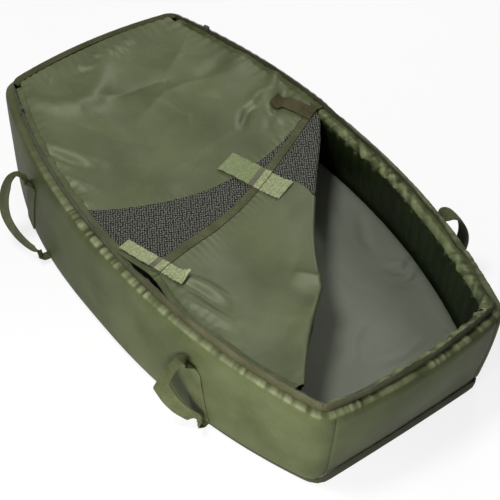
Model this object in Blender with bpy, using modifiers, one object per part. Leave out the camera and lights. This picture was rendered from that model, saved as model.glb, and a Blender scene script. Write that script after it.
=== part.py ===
"""Padded carp cradle: a foam-walled tub with a zip-edged cover, roll-up straps and webbing handles.

Metres, +Z up. The origin is on the floor under the middle of the tub. X runs along the
tub from the head end (-X), where the cover is sewn on, to the foot end (+X). The near
side is -Y and the far side is +Y. The cover is unzipped along both sides and the foot,
and its far foot corner is tucked down into the tub.
"""

import math

import bmesh
import bpy
from mathutils import Vector

# Driving dimensions: the tub at its rim
RIM_LENGTH = 1.000
RIM_END_WIDTH = 0.401
RIM_MID_WIDTH = 0.580
RIM_FULLNESS = 2.14
END_BULGE = 0.0187

# How the walls draw in (or out, where negative) on each side from their rim to their lower edge
END_FLARE = 0.015
CORNER_FLARE = 0.0075
SIDE_FLARE = -0.0065
LOWER_FULLNESS_HEAD = 2.8
LOWER_FULLNESS_FOOT = 2.2

# Walls
BASE_HEIGHT = 0.014
WALL_HEIGHT = 0.193
WALL_THICKNESS = 0.0345
WALL_BELLY = 0.003
CORNER_OUTER = 0.024
CORNER_INNER = 0.010
RIM_ROUND = 0.009
MITRE_GAP = 0.002

# Base board, past the walls' lower edge at the ends and in from it at the sides, and floor padding
BASE_END_REACH = 0.004
BASE_SIDE_INSET = 0.0065
BASE_BULGE = 0.002
FLOOR_FOAM_THICKNESS = 0.030
FLOOR_MAT_THICKNESS = 0.050
MAT_CROWN = 0.0025

# Cloth, tape and webbing thicknesses, and the gap between touching pieces
CLOTH = 0.0012
MESH = 0.0010
WEBBING = 0.0020
HOOK_TAPE = 0.0016
GAP = 0.0003
SEW_GAP = 0.0005

# Zip along the rim
TAPE_STAND = 0.018
COIL_DIAMETER = 0.0022
SLIDER_LENGTH = 0.012
SLIDER_WIDTH = 0.0058
SLIDER_WALL = 0.0012
SLIDER_SKIRT = 0.007
PULL_LENGTH = 0.015
PULL_WIDTH = 0.005
PULL_THICKNESS = 0.0010

# Cover
COVER_LIFT = 0.006
COVER_SAG = 0.012
COVER_CLEARANCE = 0.0033
EDGE_TAPE = 0.012
HEAD_RISE = 0.0065
HEAD_TAPE = 0.020
CROSS_TAPE = 0.022
ARC_MIDDLE = -0.035
ARC_SAGITTA = 0.069
SEAM_NEAR_X = 0.092
SEAM_FAR_X = -0.083
SEAM_BOW = 0.024
FOLD_FOOT_X = 0.430
FOLD_RADIUS = 0.006
FOLD_END_RADIUS = 0.003
FOLD_PUCKER = 0.018
HANG_RETREAT = 0.030
CORNER_LIFT = 0.005
NEAR_SLACK = 0.016

# Tab over the far end of the zip, in from the head end
END_TAB_START = 0.060
END_TAB_LENGTH = 0.048
END_TAB_WIDTH = 0.010

# Roll-up straps
STRAP_WIDTH = 0.050
NEAR_STRAP_WIDTH = 0.028
LOOP_LENGTH = 0.066
HOOK_LENGTH = 0.044

# Handles
HANDLE_WEB = 0.038
HANDLE_END_WEB = 0.018
HANDLE_TOP = 0.162
HANDLE_LOW = 0.024
HANDLE_STANDOFF = 0.014

# Counts of facets along each stretch of the outline
SIDE_STEPS = 16
END_STEPS = 8
CORNER_STEPS = 2
HEAD_ROWS = 12
MESH_ROWS = 5
SEAM_STEPS = 15
SPLIT_STEPS = 9
LIP_STEPS = 4
FLAP_ROWS = 15

LOWER_LENGTH = RIM_LENGTH - 2 * END_FLARE
LOWER_END_WIDTH = RIM_END_WIDTH - 2 * CORNER_FLARE
LOWER_MID_WIDTH = RIM_MID_WIDTH - 2 * SIDE_FLARE
WALL_TOP = BASE_HEIGHT + WALL_HEIGHT
TAPE_INSET = WALL_THICKNESS / 2
COVER_EDGE = TAPE_INSET + COVER_CLEARANCE
PANEL_EDGE = COVER_EDGE + EDGE_TAPE + GAP
MAT_TOP = BASE_HEIGHT + FLOOR_FOAM_THICKNESS + FLOOR_MAT_THICKNESS + 2 * GAP

MATERIALS = {
    "wall_cloth": ((0.105, 0.125, 0.055), 0.50),
    "lining_cloth": ((0.045, 0.060, 0.026), 0.62),
    "cover_cloth": ((0.150, 0.180, 0.092), 0.38),
    "mat_cloth": ((0.115, 0.118, 0.098), 0.55),
    "base_cloth": ((0.040, 0.040, 0.030), 0.70),
    "foam": ((0.300, 0.300, 0.290), 0.95),
    "zip_tape": ((0.060, 0.055, 0.038), 0.85),
    "zip_coil": ((0.035, 0.033, 0.025), 0.45),
    "mesh": ((0.045, 0.047, 0.040), 0.80),
    "webbing": ((0.065, 0.063, 0.042), 0.85),
    "strap_web": ((0.105, 0.100, 0.085), 0.85),
    "hook_loop": ((0.270, 0.330, 0.160), 0.90),
    "slider": ((0.050, 0.050, 0.045), 0.35),
}


def mix(a, b, t):
    return a + (b - a) * t


def clamp(value, low=0.0, high=1.0):
    return min(max(value, low), high)


def smooth(t):
    t = clamp(t)
    return t * t * (3 - 2 * t)


def bump(value, centre, width):
    return math.exp(-(((value - centre) / width) ** 2))


# Plan outline of the tub


class Outline:
    """Plan outline with straight-ended bowed sides, inset evenly by a distance."""

    def __init__(self, length, end, middle, bulge, head, foot, inset):
        slope = (middle - end) * foot / length
        self.half_length = length / 2 - inset
        self.end = end / 2 - (math.hypot(1, slope) - slope) * inset
        self.middle = middle / 2 - inset
        self.bulge = bulge
        self.head = head
        self.foot = foot

    def side(self, x):
        fullness = self.head if x < 0 else self.foot
        reach = clamp(abs(x) / self.half_length)
        return mix(self.middle, self.end, reach**fullness)

    def tip(self, y):
        return self.half_length + self.bulge * (1 - clamp(abs(y) / self.end) ** 2)


def wall_outline(inset, height):
    """Outline of the wall at a height, blended from its lower edge to its rim."""
    h = clamp((height - BASE_HEIGHT) / WALL_HEIGHT)
    return Outline(
        mix(LOWER_LENGTH, RIM_LENGTH, h),
        mix(LOWER_END_WIDTH, RIM_END_WIDTH, h),
        mix(LOWER_MID_WIDTH, RIM_MID_WIDTH, h),
        END_BULGE,
        mix(LOWER_FULLNESS_HEAD, RIM_FULLNESS, h),
        mix(LOWER_FULLNESS_FOOT, RIM_FULLNESS, h),
        inset,
    )


def base_outline(inset):
    return Outline(
        LOWER_LENGTH + 2 * BASE_END_REACH,
        LOWER_END_WIDTH - 2 * BASE_SIDE_INSET,
        LOWER_MID_WIDTH - 2 * BASE_SIDE_INSET,
        BASE_BULGE,
        LOWER_FULLNESS_HEAD,
        LOWER_FULLNESS_FOOT,
        inset,
    )


def corner_points(start, corner, end):
    """Points inside a rounded corner, on the curve that its two straights draw."""
    points = []
    for i in range(1, CORNER_STEPS + 1):
        t = i / (CORNER_STEPS + 1)
        points.append((1 - t) ** 2 * start + 2 * t * (1 - t) * corner + t * t * end)
    return points


def ring(outline, trim, height):
    """Closed loop of points: near side, foot end, far side, head end, with round corners."""
    x_end = outline.half_length - trim
    y_end = outline.end - trim
    quarters = []
    for turn in (1, -1):
        side = []
        for i in range(SIDE_STEPS + 1):
            x = turn * mix(-x_end, x_end, i / SIDE_STEPS)
            side.append(Vector((x, -turn * outline.side(x), height)))
        tip = []
        for i in range(END_STEPS + 1):
            y = turn * mix(-y_end, y_end, i / END_STEPS)
            tip.append(Vector((turn * outline.tip(y), y, height)))
        quarters.append((side, tip))
    loop = []
    for turn, (side, tip) in zip((1, -1), quarters):
        corner = Vector((turn * outline.half_length, -turn * outline.end, height))
        loop += side + corner_points(side[-1], corner, tip[0])
        following = quarters[1][0] if turn == 1 else quarters[0][0]
        corner = Vector((turn * outline.half_length, turn * outline.end, height))
        loop += tip + corner_points(tip[-1], corner, following[0])
    return loop


def wall_ring(inset, height):
    trim = mix(CORNER_OUTER, CORNER_INNER, clamp(inset / WALL_THICKNESS))
    return ring(wall_outline(inset, height), trim, height)


NEAR_START = 0
NEAR_END = SIDE_STEPS
FOOT_START = NEAR_END + CORNER_STEPS + 1
FOOT_END = FOOT_START + END_STEPS
FAR_START = FOOT_END + CORNER_STEPS + 1
FAR_END = FAR_START + SIDE_STEPS
HEAD_START = FAR_END + CORNER_STEPS + 1
HEAD_END = HEAD_START + END_STEPS
LOOP_COUNT = HEAD_END + CORNER_STEPS + 1


def along(loop, place):
    """Point at a fractional place round a closed loop."""
    i = math.floor(place)
    return loop[i % LOOP_COUNT].lerp(loop[(i + 1) % LOOP_COUNT], place - i)


def stations(start, end, loop, gap=GAP):
    """Places from start to end, shortened at both ends by half the gap."""
    first = (along(loop, start + 0.2) - along(loop, start)).length / 0.2
    last = (along(loop, end) - along(loop, end - 0.2)).length / 0.2
    inner = [float(i) for i in range(math.floor(start) + 1, math.ceil(end))]
    return [start + gap / 2 / first] + inner + [end - gap / 2 / last]


# Scene and object helpers

for old in list(bpy.data.objects):
    bpy.data.objects.remove(old, do_unlink=True)

COLLECTION = bpy.data.collections.new("carp_cradle")
bpy.context.scene.collection.children.link(COLLECTION)


def material(name):
    found = bpy.data.materials.get(name)
    if found:
        return found
    colour, roughness = MATERIALS[name]
    made = bpy.data.materials.new(name)
    made.use_nodes = True
    shader = made.node_tree.nodes["Principled BSDF"]
    shader.inputs["Base Color"].default_value = (*colour, 1)
    shader.inputs["Roughness"].default_value = roughness
    shader.inputs["Metallic"].default_value = 0.0
    return made


def place(name, bm, material_name, origin=None):
    """Make an object of a mesh, with its origin on a joint's axis where it moves."""
    bmesh.ops.remove_doubles(bm, verts=bm.verts, dist=0.00002)
    bmesh.ops.recalc_face_normals(bm, faces=bm.faces)
    pivot = origin or Vector((0, 0, 0))
    bmesh.ops.translate(bm, verts=bm.verts, vec=-pivot)
    mesh = bpy.data.meshes.new(name)
    bm.to_mesh(mesh)
    bm.free()
    mesh.shade_smooth()
    mesh.set_sharp_from_angle(angle=math.radians(40))
    mesh.materials.append(material(material_name))
    made = bpy.data.objects.new(name, mesh)
    made.location = pivot
    COLLECTION.objects.link(made)
    return made


def cloth(name, rows, thickness, material_name, origin=None, closed=False):
    """Sheet through a grid of points, given its thickness by Solidify."""
    bm = bmesh.new()
    grid = [[bm.verts.new(point) for point in row] for row in rows]
    pairs = list(zip(grid, grid[1:]))
    if closed:
        pairs.append((grid[-1], grid[0]))
    for one, two in pairs:
        for j in range(len(one) - 1):
            bm.faces.new((one[j], two[j], two[j + 1], one[j + 1]))
    made = place(name, bm, material_name, origin)
    solid = made.modifiers.new("thickness", "SOLIDIFY")
    solid.thickness = thickness
    solid.offset = 0
    solid.use_even_offset = True
    solid.use_quality_normals = True
    return made


def loft(name, sections, material_name, origin=None):
    """Closed solid lofted between closed sections, with flat ends."""
    bm = bmesh.new()
    rings = [[bm.verts.new(point) for point in section] for section in sections]
    count = len(rings[0])
    for one, two in zip(rings, rings[1:]):
        for j in range(count):
            k = (j + 1) % count
            bm.faces.new((one[j], one[k], two[k], two[j]))
    bm.faces.new(rings[0])
    bm.faces.new(rings[-1])
    return place(name, bm, material_name, origin)


def tube(name, points, diameter, material_name):
    """Round bead along a route, as a bevelled curve with filled caps."""
    curve = bpy.data.curves.new(name, "CURVE")
    curve.dimensions = "3D"
    curve.bevel_depth = diameter / 2
    curve.bevel_resolution = 1
    curve.use_fill_caps = True
    spline = curve.splines.new("POLY")
    spline.points.add(len(points) - 1)
    for target, point in zip(spline.points, points):
        target.co = (*point, 1)
    curve.materials.append(material(material_name))
    made = bpy.data.objects.new(name, curve)
    COLLECTION.objects.link(made)
    return made


# Base board and floor padding


def build_floor():
    sheet = CLOTH * 1.3
    low = base_outline(0)
    inner = base_outline(sheet)
    board = base_outline(sheet + GAP)
    edge = BASE_HEIGHT - GAP
    loft(
        "base_sheet",
        [
            ring(low, CORNER_OUTER, 0),
            ring(low, CORNER_OUTER, edge),
            ring(inner, CORNER_OUTER, edge),
            ring(inner, CORNER_OUTER, sheet),
        ],
        "base_cloth",
    )
    loft(
        "base_foam",
        [ring(board, CORNER_OUTER, sheet + GAP), ring(board, CORNER_OUTER, edge)],
        "foam",
    )
    inset = WALL_THICKNESS + CLOTH + GAP
    foam_low = BASE_HEIGHT
    foam_top = foam_low + FLOOR_FOAM_THICKNESS
    loft(
        "floor_foam",
        [wall_ring(inset, foam_low), wall_ring(inset, foam_top)],
        "foam",
    )
    low = foam_top + GAP
    top = low + FLOOR_MAT_THICKNESS - MAT_CROWN
    profile = [
        (0.0050, low),
        (0.0008, low + 0.007),
        (0.0002, low + 0.016),
        (0.0012, top - 0.003),
        (0.0060, top),
        (0.0300, top + 0.4 * MAT_CROWN),
        (0.0900, top + MAT_CROWN),
    ]
    loft("floor_mat", [wall_ring(inset + d, z) for d, z in profile], "mat_cloth")


# Wall panels, foam boards and lining

OUTER_HEIGHTS = (0.06, 0.25, 0.50, 0.75, 0.92)
INNER_HEIGHTS = (0.90, 0.675, 0.45, 0.225, 0.0)


def belly(height):
    """How far the padded wall swells out between its lower edge and its rim."""
    return WALL_BELLY * math.sin(math.pi * clamp((height - BASE_HEIGHT) / WALL_HEIGHT)) ** 0.7


def skin_section():
    """Outer cloth from its turned-under lower edge up and over to the zip tape."""
    half = CLOTH / 2
    low = BASE_HEIGHT
    section = [(0.014, low + half), (0.005, low + half), (0.0012, low + 0.003)]
    for fraction in OUTER_HEIGHTS:
        height = low + fraction * WALL_HEIGHT
        section.append((half - belly(height), height))
    section += [
        (half + 0.15 * RIM_ROUND, WALL_TOP - 0.70 * RIM_ROUND),
        (half + 0.50 * RIM_ROUND, WALL_TOP - half - 0.16 * RIM_ROUND),
        (half + RIM_ROUND, WALL_TOP - half),
        (TAPE_INSET - CLOTH / 2 - GAP, WALL_TOP - half),
    ]
    return section


def lining_section():
    """Inner cloth from the zip tape down the inside to the base."""
    half = CLOTH / 2
    inner = WALL_THICKNESS - half
    section = [
        (TAPE_INSET + CLOTH / 2 + GAP, WALL_TOP - half),
        (inner - RIM_ROUND, WALL_TOP - half),
        (inner - 0.50 * RIM_ROUND, WALL_TOP - half - 0.16 * RIM_ROUND),
        (inner - 0.15 * RIM_ROUND, WALL_TOP - 0.70 * RIM_ROUND),
    ]
    for fraction in INNER_HEIGHTS:
        section.append((inner, BASE_HEIGHT + GAP + fraction * WALL_HEIGHT))
    return section


def board_section():
    """Closed section of a wall's foam board, inside the two cloths."""
    skin = CLOTH + GAP
    low = BASE_HEIGHT + skin
    top = WALL_TOP - skin
    section = [(0.008, low), (skin + 0.0012, low + 0.003)]
    for fraction in OUTER_HEIGHTS:
        height = BASE_HEIGHT + fraction * WALL_HEIGHT
        section.append((skin - belly(height), height))
    section += [
        (skin + 0.25 * RIM_ROUND, top - 0.70 * RIM_ROUND),
        (skin + 0.60 * RIM_ROUND, top - 0.20 * RIM_ROUND),
        (skin + RIM_ROUND, top),
    ]
    inner = WALL_THICKNESS - skin
    section += [
        (inner - RIM_ROUND, top),
        (inner - 0.60 * RIM_ROUND, top - 0.20 * RIM_ROUND),
        (inner - 0.25 * RIM_ROUND, top - 0.70 * RIM_ROUND),
    ]
    for fraction in INNER_HEIGHTS:
        section.append((inner, max(BASE_HEIGHT + GAP + fraction * WALL_HEIGHT, low)))
    return section


def sweep(section, start, end, gap=GAP):
    """Rows of points where a section of inset and height runs round part of the tub."""
    loops = [wall_ring(inset, height) for inset, height in section]
    places = stations(start, end, loops[0], gap)
    return [[along(loop, place) for loop in loops] for place in places]


def build_walls():
    sides = {
        "near": (NEAR_START, NEAR_END),
        "foot": (FOOT_START, FOOT_END),
        "far": (FAR_START, FAR_END),
        "head": (HEAD_START, HEAD_END),
    }
    wrap = CORNER_STEPS + 1
    for name, (start, end) in sides.items():
        reach = wrap if name in ("near", "far") else 0
        rows = sweep(skin_section(), start - reach, end + reach)
        cloth(f"{name}_wall_panel", rows, CLOTH, "wall_cloth")
        rows = sweep(lining_section(), start - reach, end + reach)
        cloth(f"{name}_wall_lining", rows, CLOTH, "lining_cloth")
        mitre = (CORNER_STEPS + 1) / 2
        board = sweep(board_section(), start - mitre, end + mitre, MITRE_GAP)
        loft(f"{name}_wall_foam", board, "foam")


# Zip round the rim


def build_rim():
    section = [
        (TAPE_INSET, WALL_TOP - CLOTH),
        (TAPE_INSET, WALL_TOP + TAPE_STAND / 2),
        (TAPE_INSET, WALL_TOP + TAPE_STAND),
    ]
    cloth("rim_zip_tape", sweep(section, NEAR_START, FAR_END), CLOTH, "zip_tape")
    coil = COIL_DIAMETER
    loop = wall_ring(TAPE_INSET, WALL_TOP)
    rise = Vector((0, 0, TAPE_STAND + GAP + coil / 2))
    route = [along(loop, place) + rise for place in stations(NEAR_START, FAR_END, loop)]
    tube("rim_zip_coil", route, coil, "zip_coil")
    ridge = WALL_TOP + TAPE_STAND
    section = [
        (TAPE_INSET, WALL_TOP - CLOTH),
        (TAPE_INSET, ridge - 0.002),
        (TAPE_INSET + 0.0015, ridge),
        (TAPE_INSET + HEAD_TAPE, WALL_TOP + COVER_LIFT + HEAD_RISE),
    ]
    cloth("head_binding", sweep(section, FAR_END + 1, HEAD_END + CORNER_STEPS), CLOTH, "zip_tape")


def build_slider(side):
    """Zip slider and pull tab parked at the head end of one side, on a straight stretch."""
    sign = -1 if side == "near" else 1
    loop = wall_ring(TAPE_INSET, WALL_TOP)
    if side == "near":
        start, end = loop[NEAR_START + 1], loop[NEAR_START + 2]
    else:
        start, end = loop[FAR_END - 1], loop[FAR_END - 2]
    forward = (end - start).normalized()
    outward = Vector((-forward.y, forward.x, 0)) * (1 if side == "far" else -1)
    outward = outward if outward.y * sign > 0 else -outward
    top = WALL_TOP + TAPE_STAND + GAP + COIL_DIAMETER + 0.0004
    centre = start + forward * (SLIDER_LENGTH * 0.75)
    profile = [
        (-SLIDER_WIDTH / 2, top - SLIDER_SKIRT),
        (-SLIDER_WIDTH / 2, top + SLIDER_WALL),
        (SLIDER_WIDTH / 2, top + SLIDER_WALL),
        (SLIDER_WIDTH / 2, top - SLIDER_SKIRT),
        (SLIDER_WIDTH / 2 - SLIDER_WALL, top - SLIDER_SKIRT),
        (SLIDER_WIDTH / 2 - SLIDER_WALL, top),
        (-SLIDER_WIDTH / 2 + SLIDER_WALL, top),
        (-SLIDER_WIDTH / 2 + SLIDER_WALL, top - SLIDER_SKIRT),
    ]
    sections = []
    for end_sign in (-1, 1):
        at = centre + forward * (end_sign * SLIDER_LENGTH / 2)
        sections.append([Vector((at.x, at.y, 0)) + outward * o + Vector((0, 0, z)) for o, z in profile])
    loft(f"{side}_zip_slider", sections, "slider", Vector((centre.x, centre.y, top)))
    hinge = centre + outward * (SLIDER_WIDTH / 2 + GAP + PULL_THICKNESS / 2)
    hinge = Vector((hinge.x, hinge.y, top + SLIDER_WALL / 2))
    rows = []
    for drop in (0.0, 0.25, 0.5, 0.75, 1.0):
        width = PULL_WIDTH * (0.6 + 0.4 * math.sin(math.pi * (0.25 + 0.6 * drop)))
        middle = hinge - Vector((0, 0, drop * PULL_LENGTH))
        rows.append([middle + forward * (width / 2 * k) for k in (-1, 0, 1)])
    cloth(f"{side}_zip_pull", rows, PULL_THICKNESS, "slider", hinge)


# Cover: flat layout in plan, then its shape in space


def near_inset(x):
    """The near edge sits in from the rim where the slack cover has pulled away."""
    return NEAR_SLACK * bump(x, 0.087, 0.060)


def near_edge(x, inset):
    outline = wall_outline(inset + near_inset(x), WALL_TOP)
    return Vector((x, -outline.side(x)))


def far_edge(x, inset):
    return Vector((x, wall_outline(inset, WALL_TOP).side(x)))


FOLD_HEAD = far_edge(SEAM_FAR_X, PANEL_EDGE)
FOLD_FOOT = near_edge(FOLD_FOOT_X, PANEL_EDGE)
FOLD_DIRECTION = (FOLD_FOOT - FOLD_HEAD).normalized()
FOLD_NORMAL = Vector((-FOLD_DIRECTION.y, FOLD_DIRECTION.x))
FOLD_LENGTH = (FOLD_FOOT - FOLD_HEAD).length


def fold_place(point):
    """How far along the fold a flat point lies, from 0 to 1, and how far beyond it."""
    offset = point - FOLD_HEAD
    return offset.dot(FOLD_DIRECTION) / FOLD_LENGTH, offset.dot(FOLD_NORMAL)


def fold_bulge(t):
    return 0.008 * bump(t, 0.12, 0.09) + FOLD_PUCKER * bump(t, 0.67, 0.13)


def cover_level(point):
    """Height of the cover's middle surface over a plan point."""
    rim = wall_outline(PANEL_EDGE, WALL_TOP)
    sx = clamp(point.x / rim.half_length, -1, 1)
    sy = clamp(point.y / rim.side(point.x), -1, 1)
    sag = COVER_SAG * (1 - sx * sx) * (1 - sy * sy)
    rise = HEAD_RISE * bump(point.x, -rim.half_length - END_BULGE, 0.080)
    lift = CORNER_LIFT * bump((point - FOLD_FOOT).length, 0, 0.070)
    return WALL_TOP + COVER_LIFT - sag + rise + lift


def on_cover(point, up=0.0):
    """Point in space for a flat point of the cover's top layer."""
    t, beyond = fold_place(point)
    shift = FOLD_NORMAL * fold_bulge(clamp(t)) * math.exp(min(beyond, 0) / 0.10)
    spot = point + shift
    return Vector((spot.x, spot.y, cover_level(point) + up))


def folded(point):
    """Point in space for any flat point, turned under and hanging where it is past the fold."""
    t, beyond = fold_place(point)
    if beyond <= 0:
        return on_cover(point)
    edge = on_cover(point - FOLD_NORMAL * beyond)
    middle = math.sin(math.pi * clamp(t)) ** 0.6
    radius = mix(FOLD_END_RADIUS, FOLD_RADIUS, middle)
    bend = math.pi * radius
    normal = Vector((FOLD_NORMAL.x, FOLD_NORMAL.y, 0))
    if beyond < bend:
        angle = beyond / radius
        return edge + normal * radius * math.sin(angle) - Vector((0, 0, radius * (1 - math.cos(angle))))
    drop = edge.z - 2 * radius - (MAT_TOP + CLOTH + GAP)
    retreat = HANG_RETREAT * middle
    hang = math.hypot(drop, retreat)
    run = beyond - bend
    part = clamp(run / hang)
    down = drop * mix(part, smooth(part), 0.5)
    back = retreat * part + max(run - hang, 0)
    return edge - normal * back - Vector((0, 0, 2 * radius + down))


def seam_curve(u):
    near = near_edge(SEAM_NEAR_X, PANEL_EDGE)
    far = far_edge(SEAM_FAR_X, PANEL_EDGE)
    return near.lerp(far, u) + Vector((SEAM_BOW * math.sin(math.pi * u) ** 2, 0))


def seam_point(u):
    """Foot edge of the cross tape, from the near edge (0) to the far edge (1), in straight steps."""
    part = clamp(u) * SEAM_STEPS
    low = min(int(part), SEAM_STEPS - 1)
    return seam_curve(low / SEAM_STEPS).lerp(seam_curve((low + 1) / SEAM_STEPS), part - low)


def seam_normal(u):
    u = clamp(u)
    step = 1 / SEAM_STEPS
    tangent = (seam_curve(clamp(u + step)) - seam_curve(clamp(u - step))).normalized()
    return Vector((tangent.y, -tangent.x))


def arc_point(u):
    """Foot edge of the head panel, where the mesh is sewn on."""
    near = near_edge(ARC_MIDDLE - ARC_SAGITTA, PANEL_EDGE)
    far = far_edge(ARC_MIDDLE - ARC_SAGITTA, PANEL_EDGE)
    point = near.lerp(far, u)
    return point + Vector((ARC_SAGITTA * (1 - (2 * u - 1) ** 2), 0))


def patch(bottom, top, left, right, us, vs):
    """Flat points of a four-sided patch between its boundary curves."""
    rows = []
    for v in vs:
        row = []
        for u in us:
            ruled = bottom(u) * (1 - v) + top(u) * v + left(v) * (1 - u) + right(v) * u
            corner = (bottom(0) * (1 - u) + bottom(1) * u) * (1 - v)
            corner += (top(0) * (1 - u) + top(1) * u) * v
            row.append(ruled - corner)
        rows.append(row)
    return rows


def steps(count):
    return [i / count for i in range(count + 1)]


def drawn_in(count, amount):
    """Even steps from 0 to 1 whose two ends are drawn in a little."""
    return [amount] + [i / count for i in range(1, count)] + [1 - amount]


ARC_X = ARC_MIDDLE - ARC_SAGITTA
HEAD_INSET = TAPE_INSET + HEAD_TAPE + CLOTH / 2 + SEW_GAP
HEAD_LOOP = wall_ring(HEAD_INSET, WALL_TOP)
HEAD_CORNER = CORNER_STEPS / 2 + 0.5
HEAD_X = along(HEAD_LOOP, HEAD_END + HEAD_CORNER).x


def head_edge_xs():
    return [mix(HEAD_X, ARC_X, v) for v in steps(HEAD_ROWS)]


def mesh_edge_xs(last):
    return [mix(ARC_X, last, v) for v in steps(MESH_ROWS)]


def build_head_panel():
    def head(u):
        place = mix(HEAD_END + HEAD_CORNER, HEAD_START - HEAD_CORNER, u)
        return along(HEAD_LOOP, place).to_2d()

    def rounded(edge, v, corner):
        start = edge(HEAD_X, PANEL_EDGE)
        fade = max(0, 1 - v * HEAD_ROWS)
        return edge(mix(HEAD_X, ARC_X, v), PANEL_EDGE) + (corner - start) * fade

    def near(v):
        return rounded(near_edge, v, head(0))

    def far(v):
        return rounded(far_edge, v, head(1))

    rows = steps(HEAD_ROWS)
    rows[-1] -= 0.0012
    flat = patch(head, arc_point, near, far, drawn_in(SEAM_STEPS, 0), rows)
    cloth("cover_head_panel", [[on_cover(p) for p in row] for row in flat], CLOTH, "cover_cloth")


def build_mesh_and_tape():
    def near(v):
        return near_edge(mix(ARC_X, SEAM_NEAR_X, v), PANEL_EDGE)

    def far(v):
        return far_edge(mix(ARC_X, SEAM_FAR_X, v), PANEL_EDGE)

    columns = drawn_in(SEAM_STEPS, 0.0005)
    flat = patch(arc_point, seam_point, near, far, columns, steps(MESH_ROWS))
    cloth("cover_mesh_panel", [[on_cover(p) for p in row] for row in flat], MESH, "mesh")
    level = (MESH + CLOTH) / 2 + SEW_GAP
    rows = []
    for u in columns:
        normal = seam_normal(u)
        line = []
        for part in (0.0, 0.5, 1.0):
            line.append(on_cover(seam_point(u) - normal * (CROSS_TAPE * part), level))
        rows.append(line)
    cloth("cover_cross_tape", rows, CLOTH, "zip_tape")


def edge_tape_rows(edge, xs):
    inner = PANEL_EDGE - SEW_GAP
    middle = (COVER_EDGE + inner) / 2
    return [[on_cover(edge(x, inset)) for inset in (COVER_EDGE, middle, inner)] for x in xs]


def build_edge_tapes():
    """Zip halves sewn along the two sides of the head panel and mesh, and of the flap's near side."""
    for side, edge, last in (("near", near_edge, SEAM_NEAR_X), ("far", far_edge, SEAM_FAR_X)):
        xs = head_edge_xs()[:-1] + mesh_edge_xs(last)
        xs[-1] -= SEW_GAP
        cloth(f"{side}_cover_zip_tape", edge_tape_rows(edge, xs), CLOTH, "zip_tape")
    xs = [mix(SEAM_NEAR_X, FOLD_FOOT_X, v * FLAP_TIP) for v in steps(FLAP_ROWS)]
    xs[0] += SEW_GAP
    rows = edge_tape_rows(near_edge, xs)
    cloth("flap_near_zip_tape", rows, CLOTH, "zip_tape", flap_hinge()[0])


# Cover flap: foot panel, mesh corner and zip tapes, turned under at the fold

SEAM_SPLIT = SPLIT_STEPS / SEAM_STEPS
FLAP_OUTLINE = wall_outline(PANEL_EDGE, WALL_TOP)
FLAP_CORNER = Vector((FLAP_OUTLINE.half_length, FLAP_OUTLINE.end))
CORNER_T = fold_place(FLAP_CORNER)[0]
FLAP_TIP = 0.985
MESH_T = 0.33
MESH_STEP = 0.004
MESH_LAST = 0.025


def flap_hinge():
    """Hinge line of the cover's foot flap: near and far ends, just above the cross tape."""
    level = WALL_TOP + COVER_LIFT + 0.004
    near = seam_point(0) + Vector((SEAM_BOW / 4, 0))
    far = seam_point(1) + Vector((SEAM_BOW / 4, 0))
    return Vector((near.x, near.y, level)), Vector((far.x, far.y, level))


def fold_point(t):
    return FOLD_HEAD + FOLD_DIRECTION * (FOLD_LENGTH * t)


def border_point(t):
    """Free edge of the folded-under part in the flat cover: far side, then foot end."""
    if t <= CORNER_T:
        return far_edge(mix(FOLD_HEAD.x, FLAP_CORNER.x, t / CORNER_T), PANEL_EDGE)
    part = (t - CORNER_T) / (1 - CORNER_T)
    bulge = END_BULGE * 2.4 * part * (1 - part)
    return FLAP_CORNER.lerp(FOLD_FOOT, part) + Vector((bulge, 0))


def panel_row_ts():
    return [mix(MESH_T, 1, v * FLAP_TIP) for v in steps(FLAP_ROWS)]


def mesh_row_ts():
    return [mix(MESH_T - MESH_STEP, MESH_LAST, v) for v in steps(FLAP_ROWS // 2)]


def lip_curve(t):
    """Free upper edge of the foot panel from the seam across to the fold."""
    start = seam_point(SEAM_SPLIT) + seam_normal(0.5) * SEW_GAP
    handle = start + Vector((0.004, 0.040))
    lift = fold_point(MESH_T) + Vector((-0.034, 0.010))
    end = fold_point(MESH_T)
    a, b = (1 - t) ** 3, 3 * t * (1 - t) ** 2
    c, d = 3 * t * t * (1 - t), t**3
    return start * a + handle * b + lift * c + end * d


def panel_lip(s):
    """Free upper edge of the foot panel: along the seam, then across to the fold."""
    split = SPLIT_STEPS / (SPLIT_STEPS + LIP_STEPS)
    if s <= split:
        return seam_point(SEAM_SPLIT * s / split) + seam_normal(0.5) * SEW_GAP
    return lip_curve((s - split) / (1 - split))


def under_columns(t, count):
    """Flat points from just past the fold out to the free edge."""
    start = fold_point(t)
    line = border_point(t) - start
    reach = line.length
    wrap = [min(d, reach * (k + 1) / (count + 3)) for k, d in enumerate((0.006, 0.013, 0.020))]
    rest = [mix(wrap[-1], reach, (i + 1) / count) for i in range(count)]
    return [start + line * (d / reach) for d in wrap + rest]


def build_foot_panel():
    def near(v):
        aside = seam_normal(0.5) * (SEW_GAP * (1 - v))
        return near_edge(mix(SEAM_NEAR_X, FOLD_FOOT_X, v * FLAP_TIP), PANEL_EDGE) + aside

    def fold(v):
        return fold_point(mix(MESH_T, 1, v * FLAP_TIP))

    def foot(u):
        return near(1).lerp(fold(1), u)

    top = patch(panel_lip, foot, near, fold, steps(SPLIT_STEPS + LIP_STEPS), steps(FLAP_ROWS))
    rows = [[folded(p) for p in row + under_columns(t, 7)] for row, t in zip(top, panel_row_ts())]
    cloth("cover_foot_panel", rows, CLOTH, "cover_cloth", flap_hinge()[0])


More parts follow.
